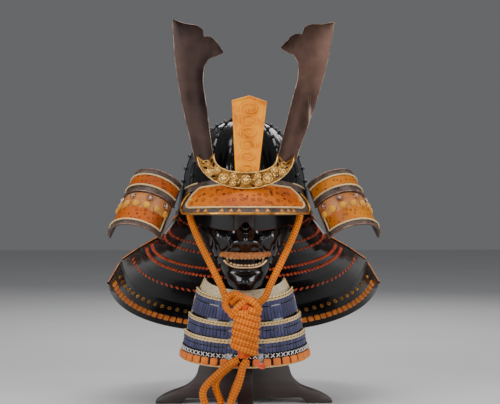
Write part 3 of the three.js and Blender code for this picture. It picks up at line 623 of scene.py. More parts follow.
def printed_leather(name, ground, deep, ink, cell, ring):
    """Smoked leather printed with small rings and dots on a warm ground."""
    made = finish_named(name, Roughness=0.55, Specular_IOR_Level=0.3)
    far = node(made, "TexVoronoi", {"Vector": where(made), "Scale": 1000 / cell,
                                    "Randomness": 0.45}).outputs["Distance"]
    wobble = weighed(made, far, 1, grain(made, 420, 2), 0.12)
    circle = ramp(made, wobble, (ring - 0.07, 0.0), (ring - 0.02, 1.0), (ring + 0.05, 1.0),
                  (ring + 0.1, 0.0))
    print_mark = calc(made, "MAXIMUM", circle, ramp(made, wobble, (0.12, 1.0), (0.17, 0.0)))
    faded = ramp(made, grain(made, 60, 4, 4), (0.36, 0.35), (0.55, 1.0))
    stained = grain(made, 16, 6, 8)
    hide = ramp(made, stained, (0.3, deep), (0.6, ground))
    shade(made, Base_Color=blended(made, calc(made, "MULTIPLY", print_mark, faded), hide, ink),
          Roughness=ramp(made, stained, (0.3, 0.42), (0.7, 0.66)),
          Normal=raised(made, grain(made, 650, 4), 0.35, 0.0005))
    return made


def part_of(face_at, left, right, top, foot):
    """A window of a surface."""
    return lambda u, v: face_at(left + (right - left) * u, top + (foot - top) * v)


def traced(face_at, start, end, count):
    """Places on a surface, evenly spaced between two of its u, v."""
    return [face_at(*mixed(start, end, k / count)) for k in range(count + 1)]


def proud_visor(proud):
    return lambda u, v: visor_face(u, v, proud)


def visor_frame(face_at, inset, top, foot, front):
    """A line down one side of the visor, along near its front and up the other side."""
    return (traced(face_at, (inset, top), (inset, foot), 6)
            + traced(face_at, (inset + 0.03, front), (0.97 - inset, front), 24)
            + traced(face_at, (1 - inset, foot), (1 - inset, top), 6))


visor_leather = printed_leather("visor_leather", (0.66, 0.15, 0.0), (0.42, 0.07, 0.0),
                                (0.045, 0.008, 0.002), 10, 0.34)
VISOR_CORE = spot(0, -60, 250)
plate("visor_plate", visor_face, 72, 16, 2.5, VISOR_CORE, grey_leather, "grey_leather", ["visor"])
plate("visor_panel", part_of(proud_visor(1.1), 0.045, 0.955, 0.03, 0.8), 72, 14, 1.4, VISOR_CORE,
      visor_leather, "printed_leather")
cord_face = proud_visor(1.4)
trim("visor_cord", [visor_frame(cord_face, 0.045, 0.03, 0.72, 0.8),
                    traced(cord_face, (0.05, 0.035), (0.95, 0.035), 24)],
     3.4, cream_cord, "cream_braid")
trim("visor_rim_wire", [visor_frame(proud_visor(1.9), 0.0, 0.26, 0.86, 0.985)], 3.8, gilt, "gilt",
     twist=0, sides=10, replacing=["visor_rim"])


def disc(bm, seat, foot, top, depth, sides):
    """Adds a flat round or cornered stud; foot and top are its radii, in mm."""
    bmesh.ops.create_cone(bm, cap_ends=True, segments=sides, radius1=foot * MM,
                          radius2=top * MM, depth=depth * MM, matrix=seat)


ochre_print = toned("ochre_print", (300,), [(0.3, (0.5, 0.13, 0.01)), (0.7, (0.85, 0.36, 0.07))],
                    Roughness=0.6)
triangles = []
for x in (-79, -67, -40, -25, -11.5, 18.5, 36, 60, 71, 80):
    u = 0.5 + asin(x / 106 * sin(radians(60))) / radians(60) / 2
    triangles.append((seat_on(visor_face, u, 0.895, VISOR_CORE, 0.2), 5.0, 4.2, 1.2, 3))
set_out("visor_triangles", disc, triangles, ochre_print, "printed_leather")


def ring_seats(seat, count, radius, up=0.0):
    out = Matrix.Translation((radius * MM, 0, up * MM))
    return [seat @ Matrix.Rotation(2 * pi * k / count, 4, "Z") @ out for k in range(count)]


def flower(bm, seat, radius, height, petals=8, beads=0):
    """Adds a small round stud: a crowned dome, a ring of petals and a ring of beads."""
    knob(bm, seat, (radius * 1.3, radius * 1.3, height * 2))
    for petal in ring_seats(seat, petals, radius * 0.72):
        knob(bm, petal, (radius * 0.62, 2.3 * radius / petals * 1.15, height * 0.9), 1)
    disc(bm, seat, radius, radius * 0.93, height * 0.45, 24)
    if beads:
        bead = 2 * pi * radius / beads * 0.95
        for place in ring_seats(seat, beads, radius * 0.97, 0.2):
            knob(bm, place, (bead, bead, bead), 1)


studs = [(seat_on(visor_face, u, 0.55, VISOR_CORE, 1.2), 4.6, 3, 8, 16) for u in (0.06, 0.94)]
set_out("visor_studs", flower, studs, gilt, "gilt", ["visor_stud_left", "visor_stud_right"])

# ---------- horn base with its bosses ----------
# A pierced gilt crescent stands on the brow and holds the horns and the tablet. Domed bosses
# with beaded edges are riveted along it, three large ones and eight small ones.

HORN_BASE = {"y": -137, "half_width": 80.5, "depth": 55.5, "tip": 426, "bend": 400}
BOSSES = [(x, 385.9 + abs(x) / 15, 8.3) for x in (-35.8, 0, 35.8)]
for x, z in ((59.6, 398.5), (46, 402), (19.5, 391.8), (21, 381)):
    BOSSES += [(-x, z, 5.3), (x, z, 5.3)]


def on_base(x, z, proud=0.0):
    return spot(x, HORN_BASE["y"] + x * x / (2 * HORN_BASE["bend"]) - proud, z)


bright_gilt = toned("bright_gilt", (150, 3), [(0.3, (0.72, 0.4, 0.1)), (0.65, (1.0, 0.72, 0.3))],
                    [(0.3, 0.3), (0.7, 0.16)], Metallic=1.0)
bosses = []
for x, z, radius in BOSSES:
    height_petals_beads = (5.2, 10, 18) if radius > 6 else (4.2, 8, 12)
    seat = seat_at(on_base(x, z, 1.2), Vector((1, 0, 0)), Vector((-x / 800, -1, 0)))
    bosses.append((seat, radius * 0.93, *height_petals_beads))
set_out("horn_base_bosses", flower, bosses, bright_gilt, "gilt",
        [f"boss_{k + 1}" for k in range(11)])


def crescent_edge(inset, outer, angle):
    """Place on the outer or inner edge of the crescent, drawn inset mm inside it."""
    if outer:
        x = (HORN_BASE["half_width"] - inset) * sin(angle)
        return x, HORN_BASE["tip"] - (HORN_BASE["depth"] - inset) * max(cos(angle), 0)
    across = abs(sin(angle)) ** 0.8 * (1 if angle > 0 else -1)
    return (51 + inset) * across, HORN_BASE["tip"] + 3 - (30 + inset) * max(cos(angle), 0) ** 0.8


rims = []
for outer in (True, False):
    edge = [crescent_edge(1.4, outer, radians(a)) for a in range(-84, 85, 6)]
    rims.append([on_base(x, z, 1.5) for x, z in edge])
trim("horn_base_rims", rims, 2.2, bright_gilt, "gilt", twist=0)
scrolls = []
for k in range(13):
    angle, hand = radians(-72 + 12 * k), 1 if k % 2 else -1
    x, z = mixed(crescent_edge(0, True, angle), crescent_edge(0, False, angle), 0.5)
    curl = []
    for i in range(11):
        turn, reach = angle + hand * (0.5 + 0.45 * i), 7.2 * (1 - 0.07 * i)
        curl.append(on_base(x + reach * sin(turn), z - reach * 0.8 * cos(turn), 0.7))
    scrolls.append(curl)
trim("horn_base_scrolls", scrolls, 1.3, bright_gilt, "gilt", twist=0, sides=6)

# ---------- horns ----------
# Two flat horns cut from dark patinated plate, with a thin bright rim along the edge that is a
# painted highlight. The left horn's bronze is darker and the right one's lighter: painted shade
# and painted light. They slot in behind the crescent and lean out, the right one further than the
# left.

HORNS = [
    {"name": "horn_left", "side": -1, "x": 66.5, "z": 421, "lean": 3.5},
    {"name": "horn_right", "side": 1, "x": 67.5, "z": 427, "lean": 10.4},
]
HORN_CORNERS = [
    [(-14.5, -14), (15, -14)], [(15, -14), (24, 42), (33, 95), (39.5, 165), (39.5, 231)],
    [(39.5, 231), (20, 223), (0, 218), (-9.5, 210)], [(-9.5, 210), (-10.6, 199)],
    [(-10.6, 199), (-19, 198.5), (-28, 192), (-42, 170)],
    [(-42, 170), (-30, 165), (-17, 162), (-8, 150)],
    [(-8, 150), (-4.6, 124), (-8, 84), (-14.5, -14)],
]


def horn_outline():
    """The right horn's edge, upright, its foot at 0, 0, in mm."""
    edge = []
    for run in HORN_CORNERS:
        places = [Vector((x * MM, 0, z * MM)) for x, z in run]
        line = smooth_line(places, 5) if len(run) > 2 else places
        edge += [place / MM for place in line[:-1]]
    return edge


def stand_horn(row, x, z, behind):
    """Place on a horn as it stands: leant over, turned back and set behind the crescent."""
    lean, turn = radians(row["lean"]), radians(9)
    x, z = x * cos(lean) + z * sin(lean), z * cos(lean) - x * sin(lean)
    bend = row["x"] ** 2 / (2 * HORN_BASE["bend"])
    y = HORN_BASE["y"] + 4.4 + bend + 1.4
    across, back = x * cos(turn) - behind * sin(turn), x * sin(turn) + behind * cos(turn)
    return spot(row["side"] * (row["x"] + across), y + back, row["z"] + z)


def horn_bronze(name, dark, brown):
    made = finish_named(name, Metallic=0.85)
    cloud = grain(made, 16, 7, seed=1)
    scratch = grain(made, 60, 4, stretch=(1, 1, 0.08), seed=6)
    colour = ramp(made, cloud, (0.32, dark), (0.6, brown),
                  (0.82, tuple(min(1, c * 1.9) for c in brown)))
    scraped = ramp(made, scratch, (0.68, 0.0), (0.74, 0.55))
    shade(made, Base_Color=blended(made, scraped, colour, (0.42, 0.33, 0.26)),
          Roughness=ramp(made, cloud, (0.3, 0.28), (0.7, 0.5)),
          Normal=raised(made, grain(made, 180, 4), 0.18, 0.0005))
    return made


# Two copies of one bronze: the darker left one is painted shade, the lighter right one painted
# light.
bronze_shaded_left = horn_bronze("dark_bronze_painted_shade", (0.022, 0.013, 0.012), (0.06, 0.036, 0.03))
bronze_lit_right = horn_bronze("brown_bronze_painted_light", (0.035, 0.018, 0.014), (0.1, 0.055, 0.042))
# A paler bronze for the thin rim along each horn's edge: a painted highlight.
edge_highlight_bronze = toned("bronze_edge_highlight", (60,),
                    [(0.35, (0.1, 0.06, 0.045)), (0.65, (0.45, 0.34, 0.26))],
                    Metallic=1.0, Roughness=0.32)


def cut_plate(places, behind):
    """A plate cut to an outline; behind leads from its front to its back."""
    bm = bmesh.new()
    sheet = bm.faces.new([bm.verts.new(place) for place in places])
    grown = bmesh.ops.extrude_face_region(bm, geom=[sheet])["geom"]
    rear = [part for part in grown if isinstance(part, bmesh.types.BMVert)]
    bmesh.ops.translate(bm, verts=rear, vec=behind)
    bmesh.ops.recalc_face_normals(bm, faces=bm.faces)
    return bm


def ease(bm, edges, width, segments=2):
    """Rounds edges, the width in mm."""
    bmesh.ops.bevel(bm, geom=edges, offset=width * MM, segments=segments, affect="EDGES",
                    profile=0.5, material=-1)


def ease_sharp(bm, least, width, segments=2):
    """Rounds the edges that turn by more than least, in radians."""
    ease(bm, [e for e in bm.edges if e.is_manifold and e.calc_face_angle(0) > least], width,
         segments)


for row, bronze in zip(HORNS, (bronze_shaded_left, bronze_lit_right)):
    edge = horn_outline()
    bm = cut_plate([stand_horn(row, place.x, place.z, 0) for place in edge],
                   stand_horn(row, 0, 0, 2.4) - stand_horn(row, 0, 0, 0))
    ease_sharp(bm, 0.9, 0.5)
    bmesh.ops.triangulate(bm, faces=[face for face in bm.faces if len(face.verts) > 4])
    piece_of(bm, row["name"] + "_plate", bronze, "bronze", [row["name"]])
    rim = [stand_horn(row, place.x, place.z, -0.1) for place in edge[3:]]
    trim(row["name"] + "_edge", [rim], 0.9, edge_highlight_bronze, "bronze", twist=0, sides=6)

# ---------- crest tablet ----------
# A gilt tablet with a raised border and a scroll of curling cloud stands between the horns.

TABLET = {"top": 28.7, "foot": 18.7, "height": 136, "peak": 9, "x": 1.8, "z": 388, "lean": 1.9}
tablet_gilt = toned("orange_gilt", (36, 6, 3),
                    [(0.28, (0.6, 0.16, 0.002)), (0.45, (0.95, 0.32, 0.002)),
                     (0.75, (1.0, 0.42, 0.004))],
                    [(0.3, 0.5), (0.7, 0.33)], ((300, 4), 0.3, 0.0005),
                    Metallic=0.25, Specular_IOR_Level=0.3)


def tablet_edge(inset):
    top = TABLET["height"] - TABLET["peak"] - inset
    foot, wide = TABLET["foot"] - inset, TABLET["top"] - inset
    return [(-foot, inset), (foot, inset), (wide, top), (0, top + TABLET["peak"]), (-wide, top)]


def on_tablet(x, z, proud=0.0):
    lean = radians(TABLET["lean"])
    x, z = x * cos(lean) + z * sin(lean), z * cos(lean) - x * sin(lean)
    return spot(TABLET["x"] + x, HORN_BASE["y"] + 6.4 - proud, TABLET["z"] + z)


bm = cut_plate([on_tablet(x, z) for x, z in tablet_edge(0)], on_tablet(0, 0, -4) - on_tablet(0, 0))
front = min(bm.faces, key=lambda face: face.calc_center_median().y)
bmesh.ops.inset_individual(bm, faces=[front], thickness=3 * MM, depth=0)
bmesh.ops.inset_individual(bm, faces=[front], thickness=0.7 * MM, depth=-1.5 * MM)
ease_sharp(bm, 0.9, 0.5)
piece_of(bm, "crest_tablet_plate", tablet_gilt, "tablet_gilt", ["crest_tablet"])
swirls = []
for k in range(6):
    hand, level = 1 if k % 2 else -1, 16 + 19.5 * k
    wide = 0.62 * (TABLET["foot"] + (TABLET["top"] - TABLET["foot"]) * (16 + 19 * k) / 136)
    swirl = []
    for i in range(22):
        turn = radians(200 if hand > 0 else -20) + hand * -0.32 * i
        reach = wide * (1 - 0.033 * i)
        swirl.append(on_tablet(hand * 1.5 + reach * cos(turn),
                               level + reach * 0.72 * sin(turn), 0.6))
    swirls.append(swirl)
trim("crest_tablet_scroll", swirls, 3.0, tablet_gilt, "tablet_gilt", twist=0)
corners = [on_tablet(x, z, 0.4) for x, z in tablet_edge(1.5)]
sides = zip(corners, corners[1:] + corners[:1])
trim("crest_tablet_border", [[a.lerp(b, t) for t in (0.02, 0.5, 0.98)] for a, b in sides],
     2.6, tablet_gilt, "tablet_gilt", twist=0)

# ---------- turned-back ear plates ----------
# The front of the topmost lames is turned back beside the face. Each plate is iron under
# printed leather, framed by twisted cords, a grey leather border and a thin rim.

# The inner edge, the outer edge and how far the middle arches, at the top and at the foot
EAR_TOP = [(109, -46, 376), (185, -8, 388), (6, -35, 22)]
EAR_FOOT = [(141, -68, 285), (229, -45, 286), (12, -53, 28)]


def ear_face(side):
    def face_at(u, v):
        angle = pi * (0.03 + 0.94 * u)
        inner, outer, arch = (mixed(top, foot, v) for top, foot in zip(EAR_TOP, EAR_FOOT))
        flat = mixed(inner, outer, (1 - cos(angle)) / 2)
        x, y, z = (a + b * sin(angle) for a, b in zip(flat, arch))
        return spot(side * x, y, z)
    return face_at


def lifted(face_at, core, proud):
    """The same surface, proud of itself by so many mm."""
    return lambda u, v: seat_on(face_at, u, v, core, proud).translation.copy()


def weave(finish, scale, distortion, direction="Z"):
    """Fine threads across the piece, from 0 to 1."""
    return node(finish, "TexWave", {"Vector": where(finish), "Scale": scale,
                                    "Distortion": distortion}, bands_direction=direction).outputs[0]


pink_leather = toned("pink_brown_leather", (40, 5, 7),
                     [(0.3, (0.34, 0.1, 0.02)), (0.7, (0.62, 0.24, 0.06))],
                     [(0.3, 0.35), (0.7, 0.6)], ((650, 3), 0.3, 0.0005), Roughness=0.5)
pink_silver = toned("pink_silver", (120,), [(0.3, (0.25, 0.13, 0.1)), (0.7, (0.8, 0.58, 0.46))],
                    Metallic=0.9, Roughness=0.3)
worn_rim = toned("worn_rim", (90,), [(0.3, (0.13, 0.06, 0.045)), (0.7, (0.4, 0.25, 0.19))],
                 Metallic=0.8, Roughness=0.45)
yellow_silk = finish_named("yellow_silk_pads", Roughness=0.6, Sheen_Weight=0.3)
yellow_weave = weave(yellow_silk, 420, 1.0)
yellow_colour = ramp(yellow_silk, yellow_weave, (0.1, (0.6, 0.22, 0.0)), (0.6, (0.95, 0.46, 0.0)))
shade(yellow_silk, Normal=raised(yellow_silk, yellow_weave, 0.4, 0.0005),
      Base_Color=soiled(yellow_silk, yellow_colour, (60,), (0.35, 0.7), (0.6, 1.0)))
# One printed leather on both sides, made darker on the left as painted shade and lighter and
# yellower on the right as painted light.
EAR_LEATHER = {
    "left": printed_leather("ear_leather_left_painted_shade", (0.5, 0.095, 0.0), (0.26, 0.04, 0.0),
                            (0.03, 0.006, 0.002), 7, 0.3),
    "right": printed_leather("ear_leather_right_painted_light", (0.6, 0.18, 0.0), (0.36, 0.08, 0.0),
                             (0.035, 0.008, 0.002), 7, 0.3),
}


def soft_pad(bm, seat, size):
    """Adds a cushion-like pad of size along, across and up, in mm."""
    scale = Matrix.Diagonal((*(side * MM for side in size), 1))
    made = bmesh.ops.create_cube(bm, size=1, matrix=seat @ scale)["verts"]
    ease(bm, list({edge for vert in made for edge in vert.link_edges}), min(size) * 0.38)


for label, side in (("left", -1), ("right", 1)):
    base, core = ear_face(side), spot(side * 160, 30, 310)
    upper = part_of(lifted(base, core, 3.5), 0, 1, 0.002, 0.42)
    lower = part_of(base, 0, 1, 0.34, 0.998)
    plate(f"ear_upper_{label}", upper, 48, 14, 2.5, core, grey_leather, "grey_leather",
          [f"ear_plate_upper_{label}"])
    plate(f"ear_lower_{label}", lower, 48, 20, 2.5, core, grey_leather, "grey_leather",
          [f"ear_plate_lower_{label}"])
    # Covers: the lame under each, its window there, how proud and thick it is, its finish
    for name, lame, window, proud, thick, finish, slot_name in (
            ("upper_panel", upper, (0.05, 0.95, 0.3, 0.68), 0.9, 1.2, EAR_LEATHER[label],
             "printed_leather"),
            ("lower_panel", lower, (0.09, 0.96, 0.52, 0.84), 0.9, 1.2, EAR_LEATHER[label],
             "printed_leather"),
            ("lacing_field", lower, (0.03, 0.97, 0.13, 0.53), 0.8, 1.1, pink_leather,
             "grey_leather")):
        plate(f"ear_{name}_{label}", part_of(lifted(lame, core, proud), *window), 44, 8, thick,
              core, finish, slot_name)
    high, low = lifted(upper, core, 1.6), lifted(lower, core, 1.6)
    cords = [traced(high, (0.05, v), (0.95, v), 18) for v in (0.26, 0.72)]
    cords.append(traced(low, (0.07, 0.86), (0.97, 0.86), 20))
    cords.append(traced(low, (0.07, 0.5), (0.07, 0.86), 6))
    trim(f"ear_cords_{label}", cords, 3.2, cream_cord, "cream_braid")
    high, low = lifted(upper, core, 0.6), lifted(lower, core, 0.6)
    rims = [traced(face_at, (0, v), (1, v), 20)
            for face_at, v in ((high, 0.03), (high, 0.97), (low, 0.985))]
    rims += [traced(low, (u, 0.2), (u, 0.98), 8) for u in (0.012, 0.988)]
    trim(f"ear_rims_{label}", rims, 2.4, worn_rim, "bronze", twist=0)
    rosettes = [(seat_on(lower, 0.13 + 0.235 * k, 0.23, core, 2.6), 5.6, 4) for k in range(4)]
    set_out(f"ear_rosettes_{label}", flower, rosettes, pink_silver, "gilt",
            [f"rosette_{label}_{k + 1}" for k in range(4)])
    pads = [(seat_on(lower, 0.1 + 0.133 * k, 0.43, core, 2.4), (13.4, 12, 8)) for k in range(7)]
    set_out(f"ear_pads_{label}", knob, pads, yellow_silk, "orange_lacing")

# ---------- neck guard ----------
# Five black lacquered lames spread round the back of the head, each hung below the last on
# silk lacing. Long orange stitches show outside; their short backs show inside as dots.

# Half width, reach to the back, height at the side and at the back, squareness of the round
NECK_EDGES = [
    (112, 125, 366, 337, 2), (118, 133, 315, 287, 2), (147, 154, 280, 237, 2.05),
    (181, 190, 260, 190, 2.15), (212, 215, 240, 145, 2.25), (237, 234, 205, 95, 2.3),
]
NECK_FRONTS = [20, 22, 9, 5, 1]
NECK_CORE = spot(0, 40, -40)


def lame_face(lame):
    """Outside of a neck lame; its upper part is tucked up outside the lame above."""
    def face_at(u, v):
        tucked = lame > 0 and v < 0.5
        share = v if lame == 0 else 2 * v - 1
        if tucked:
            row = mixed(NECK_EDGES[lame - 1], NECK_EDGES[lame], 1 + 0.2 * share)
        else:
            row = mixed(NECK_EDGES[lame], NECK_EDGES[lame + 1], share)
        half, back, side_z, back_z, square = row
        proud = 0 if lame == 0 else 3.6 * (1 if tucked else 1 - share)
        angle = radians((90 + NECK_FRONTS[lame]) * (2 * u - 1))
        across, rear = ((1 if part > 0 else -1) * abs(part) ** (2 / square)
                        for part in (sin(angle), cos(angle)))
        return spot((half + proud) * across, (back + proud) * rear,
                    side_z + (back_z - side_z) * rear + proud * 0.7)
    return face_at


for lame in range(5):
    plate(f"neck_guard_{lame + 1}", lame_face(lame), 120, 10 if lame else 6, 2.5, NECK_CORE,
          lacquer, "black_lacquer", [f"neck_lame_{lame + 1}"], crease=50)


def lacing(name, noise, deep, bright):
    return toned(name, noise, [(0.3, deep), (0.7, bright)], (),
                 ((900, 2, 0, (1, 1, 0.3)), 0.5, 0.0005), Roughness=0.6, Sheen_Weight=0.3)


red_lacing = lacing("red_orange_lacing", (130, 3), (0.5, 0.025, 0.003), (0.92, 0.12, 0.006))
amber_lacing = lacing("amber_lacing", (110, 3), (0.62, 0.11, 0.004), (0.95, 0.3, 0.01))
# A dark brown for the middle of the gilt eyelet rings: painted shade in their holes.
eyelet_hole_shade = toned("eyelet_hole_painted_shade", (200,),
                    [(0.3, (0.03, 0.015, 0.01)), (0.7, (0.1, 0.05, 0.03))], Roughness=0.5)


def inside(lame, u, v, lift, spin=0.0):
    """Seat on the inside of a lame, facing the neck."""
    seat = seat_on(lame_face(lame), u, v, NECK_CORE, -2.5 - lift, spin)
    return seat @ Matrix.Rotation(pi, 4, "X")


def spaced(count, margin):
    """So many even steps between a margin at 0 and one at 1."""
    return [margin + (1 - 2 * margin) * (k + 0.5) / count for k in range(count)]


# Rows seen from inside: lame, height on it, how many, size along, down and proud, the
# lean, and the gap between the two of a pair
DOT_ROWS = [
    (0, 0.82, 26, (4.4, 4.4, 3), 0, 0.014), (1, 0.72, 28, (5.4, 5.4, 3.6), 0, 0.014),
    (1, 0.87, 28, (5.4, 5.4, 3.6), 0, 0.014), (2, 0.68, 34, (6.6, 6.6, 4.4), 0, 0.0135),
    (2, 0.83, 34, (6.6, 6.6, 4.4), 0, 0.0135), (3, 0.7, 46, (11, 4, 3), 0.45, 0),
]
dots = []
for lame, v, count, size, lean, pair in DOT_ROWS:
    for u in spaced(count, 0.02):
        for gap in {-pair / 2, pair / 2}:
            dots.append((inside(lame, u + gap, v, 0.3, lean if u < 0.5 else -lean), size))
set_out("neck_lacing_inside", knob, dots, red_lacing, "orange_lacing")
rings = [(inside(4, u, 0.66, 0.4), 4.6, 3.6, 2.4, 14) for u in spaced(36, 0.02)]
set_out("neck_ring_studs", disc, rings, gilt, "gilt")
# A dark dome fills the middle of each eyelet ring: painted shade where its hole is.
centres = [(inside(4, u, 0.66, 1.6), (4, 4, 1.4), 1) for u in spaced(36, 0.02)]
set_out("neck_ring_centres", knob, centres, eyelet_hole_shade, "black_lacquer")
pads = [(inside(4, u, 0.85, 1.0), (11.5, 10, 5)) for u in spaced(46, 0.012)]
set_out("neck_pads_inside", soft_pad, pads, amber_lacing, "orange_lacing")

# Outside, close-set stitches lean to either side in turn across each joint, and a pale
# row runs along the foot of the last lame
stitches = []
for lame, count in ((1, 60), (2, 72), (3, 88), (4, 100)):
    for k, u in enumerate(spaced(count, 0.01)):
        spin = pi / 2 + (0.42 if k % 2 else -0.42)
        seat = seat_on(lame_face(lame), u, 0.52, NECK_CORE, 0.9, spin)
        stitches.append((seat, (15, 4.6, 3.2), 1))
set_out("neck_lacing_outside", knob, stitches, amber_lacing, "orange_lacing")
pads = [(seat_on(lame_face(4), u, 0.86, NECK_CORE, 1.0), (5.8, 8.5, 2.6))
        for u in spaced(100, 0.01)]
set_out("neck_pads_outside", soft_pad, pads, yellow_silk, "orange_lacing")
trim("neck_foot_rim", [traced(lame_face(4), (0, 0.985), (1, 0.985), 60)], 4.0, lacquer,
     "black_lacquer", twist=0)
sides = [traced(lifted(lame_face(lame), NECK_CORE, 0.4), (u, 0.5), (u, 0.98), 5)
         for lame in (2, 3, 4) for u in (0.003, 0.997)]
trim("neck_side_cords", sides, 3.6, amber_lacing, "orange_lacing", twist=5)

# ---------- face mask ----------
# An iron mask of a stern warrior in glossy black lacquer covers the face below the eyes. It
# has a crooked nose, folded cheeks, a gilt lower lip and teeth, and a moustache of hair.

# From the top down: half width, and where the sides and the front stand along Y
MASK_ROWS = [
    (80, -40, -103), (78, -42, -104), (73, -44, -104), (65, -48, -103), (54, -55, -103),
    (40, -68, -105), (27, -84, -108),
]
# Forms swell out: their middle x and z, how wide across and down, and how far they stand out
FORMS = [
    (0, 308, 12, 20, 13), (0, 284, 14, 15, 20), (19, 283, 8, 8, 8), (46, 292, 18, 16, 10),
    (58, 270, 12, 10, 5), (0, 251, 36, 12, 8), (0, 235, 24, 4, -2.5), (0, 220, 26, 14, 10),
]
# Creases are sunk along curves: two ends, how far the middle bows, the width and the depth
CREASES = [
    ((10, 311), (1.5, 303), -1, 1.3, 1.7), ((9, 297), (-9, 297), 0, 0.9, 1.1),
    ((28, 292), (42, 264), 8, 3.2, 2.4), ((34, 306), (66, 300), -5, 2.6, 1.2),
    ((56, 290), (67, 266), 5, 2.0, 1.1), ((63, 294), (73, 272), 4, 1.8, 1.0),
    ((47, 278), (56, 252), 5, 2.2, 1.0), ((42, 250), (40, 228), -3, 2.0, 2.0),
]
MASK_CORE = spot(0, 0, 260)
MOUTH = {"half": 38, "top": 259, "foot": 243}


def crease_depth(crease, x, z):
    """How far a crease sinks the face at x, z; it fades towards its two ends."""
    (x1, z1), (x2, z2), bow, wide, deep = crease
    long = hypot(x2 - x1, z2 - z1)
    along = ((x - x1) * (x2 - x1) + (z - z1) * (z2 - z1)) / long ** 2
    if not -0.1 < along < 1.1:
        return 0.0
    swell = sin(pi * min(max(along, 0), 1))
    across = ((x - x1) * (z2 - z1) - (z - z1) * (x2 - x1)) / long - bow * swell
    lips = exp(-((abs(across) - 2.2 * wide) / wide) ** 2)
    return deep * swell ** 0.5 * (exp(-(across / wide) ** 2) - 0.45 * lips)


def mask_relief(x, z):
    height = 0
    for middle, level, across, down, out in FORMS:
        for side in (-1, 1) if middle else (1,):
            height += out * exp(-((x - side * middle) / across) ** 2 - ((z - level) / down) ** 2)
    for crease in CREASES:
        on_one_side = crease[0][0] * crease[1][0] > 0
        height -= crease_depth(crease, abs(x) if on_one_side else x, z)
    nostril = hypot((abs(x) - 13) / 5.5, (z - 276) / 3.6)
    return height - 3.2 * exp(-nostril ** 2)


def mask_top(x):
    return 300 + 12 * (abs(x) / 79) ** 1.5 + 17 * exp(-((x / 11) ** 2))


def mask_foot(x):
    return 204 + 6 * (x / 24) ** 2


def on_mask(x, z, proud=0.0):
    """Place over x, z on the front of the mask."""
    half, side, front = row_at(MASK_ROWS, (mask_top(x) - z) / (mask_top(x) - mask_foot(x)))
    depth = max(1 - (x / half) ** 2, 0) ** 0.45
    return spot(x, side + (front - side) * depth - mask_relief(x, z) - proud, z)


def mask_face(u, v):
    turn = 2 * u - 1
    x = row_at(MASK_ROWS, v)[0] * sin(pi / 2 * (1 if turn > 0 else -1) * abs(turn) ** 1.2)
    return on_mask(x, mask_top(x) + (mask_foot(x) - mask_top(x)) * v)


def mouth_edge(x):
    """Upper and lower edge of the mouth opening at x."""
    share = 1 - abs(x / MOUTH["half"]) ** 3.4
    high = MOUTH["top"] - 1
    return high + 1.5 * share, high - (high - MOUTH["foot"]) * share


bm = bmesh.new()
faces = spread_grid(bm, mask_face, 176, 116, MASK_CORE)
mouth_faces = []
for face in faces:
    middle = face.calc_center_median()
    x, z = middle.x / MM, middle.z / MM
    if abs(x) < MOUTH["half"] and mouth_edge(x)[1] < z < mouth_edge(x)[0]:
        mouth_faces.append(face)
bmesh.ops.delete(bm, geom=mouth_faces, context="FACES")
for vert in bm.verts:
    x, z = vert.co.x / MM, vert.co.z / MM
    if vert.is_boundary and abs(x) < MOUTH["half"] and 238 < z < 264:
        vert.co.z = min(mouth_edge(x), key=lambda edge: abs(edge - z)) * MM
bmesh.ops.solidify(bm, geom=bm.faces[:], thickness=3 * MM)
piece_of(bm, "mask_plate", lacquer, "black_lacquer", ["mask"], crease=50)

pale_gilt = toned("pale_gilt", (90, 5, 2), [(0.3, (0.42, 0.24, 0.11)), (0.6, (0.8, 0.56, 0.32))],
                  [(0.3, 0.5), (0.7, 0.28)], Metallic=0.9)
lip = [on_mask(x, mouth_edge(x)[1] - 1.2, 1.2) for x in range(-35, 36, 5)]
upper_lip = [on_mask(x, mouth_edge(x)[0] + 0.8, 0.6) for x in range(-35, 36, 5)]
bm = bmesh.new()
lay_tube(bm, smooth_line(lip, 1.2), lambda turn, run: (2.0, 0.8), 12)
lay_tube(bm, smooth_line(upper_lip, 1.2), lambda turn, run: (1.1, 0.8), 10)
piece_of(bm, "mask_lips", pale_gilt, "gilt")
teeth = []
for x in range(-30, 31, 6):
    for z, high in ((mouth_edge(x)[0] - 1.4, 7.4), (mouth_edge(x)[1] + 1.4, 6.4)):
        seat = seat_at(on_mask(x, z, -5.2), Vector((1, 0, 0)), Vector((x / 60, -1, 0)))
        teeth.append((seat, (6.3, high, 4.6)))
set_out("mask_teeth", knob, teeth, pale_gilt, "gilt", ["upper_teeth", "lower_teeth"])

hair = toned("ginger_hair", (330, 3, 0, (1, 1, 0.4)),
             [(0.25, (0.28, 0.07, 0.015)), (0.5, (0.7, 0.25, 0.05)), (0.75, (0.92, 0.5, 0.16))],
             Roughness=0.75, Sheen_Weight=0.3)
bm = bmesh.new()
for k in range(1500):
    x = random.uniform(-39, 39)
    root_z = 266.5 + abs(x) * 0.03 - random.uniform(0, 3.5)
    root = on_mask(x, root_z, 0.4)
    out = random.uniform(3, 7.8)
    fall = random.uniform(4, 7.5) * (1 - 0.35 * (abs(x) / 40) ** 2)
    comb = (x / 40) * 3.2 + random.uniform(-1.6, 1.6)
    tip = root + Vector((comb, -out, -fall)) * MM
    middle = root.lerp(tip, 0.5) + Vector((0, -1.6, 1.4)) * MM
    lay_tube(bm, [root, middle, tip], lambda turn, run: (0.34, 0.5), 3)
piece_of(bm, "moustache_hair", hair, "fur", ["moustache"], crease=80)

# ---------- throat guard ----------
# Five small lames hang from the chin: a plate covered in pale leather, then four closely
# laced in blue silk, with pale cross-braid between them and orange tufts along the foot.

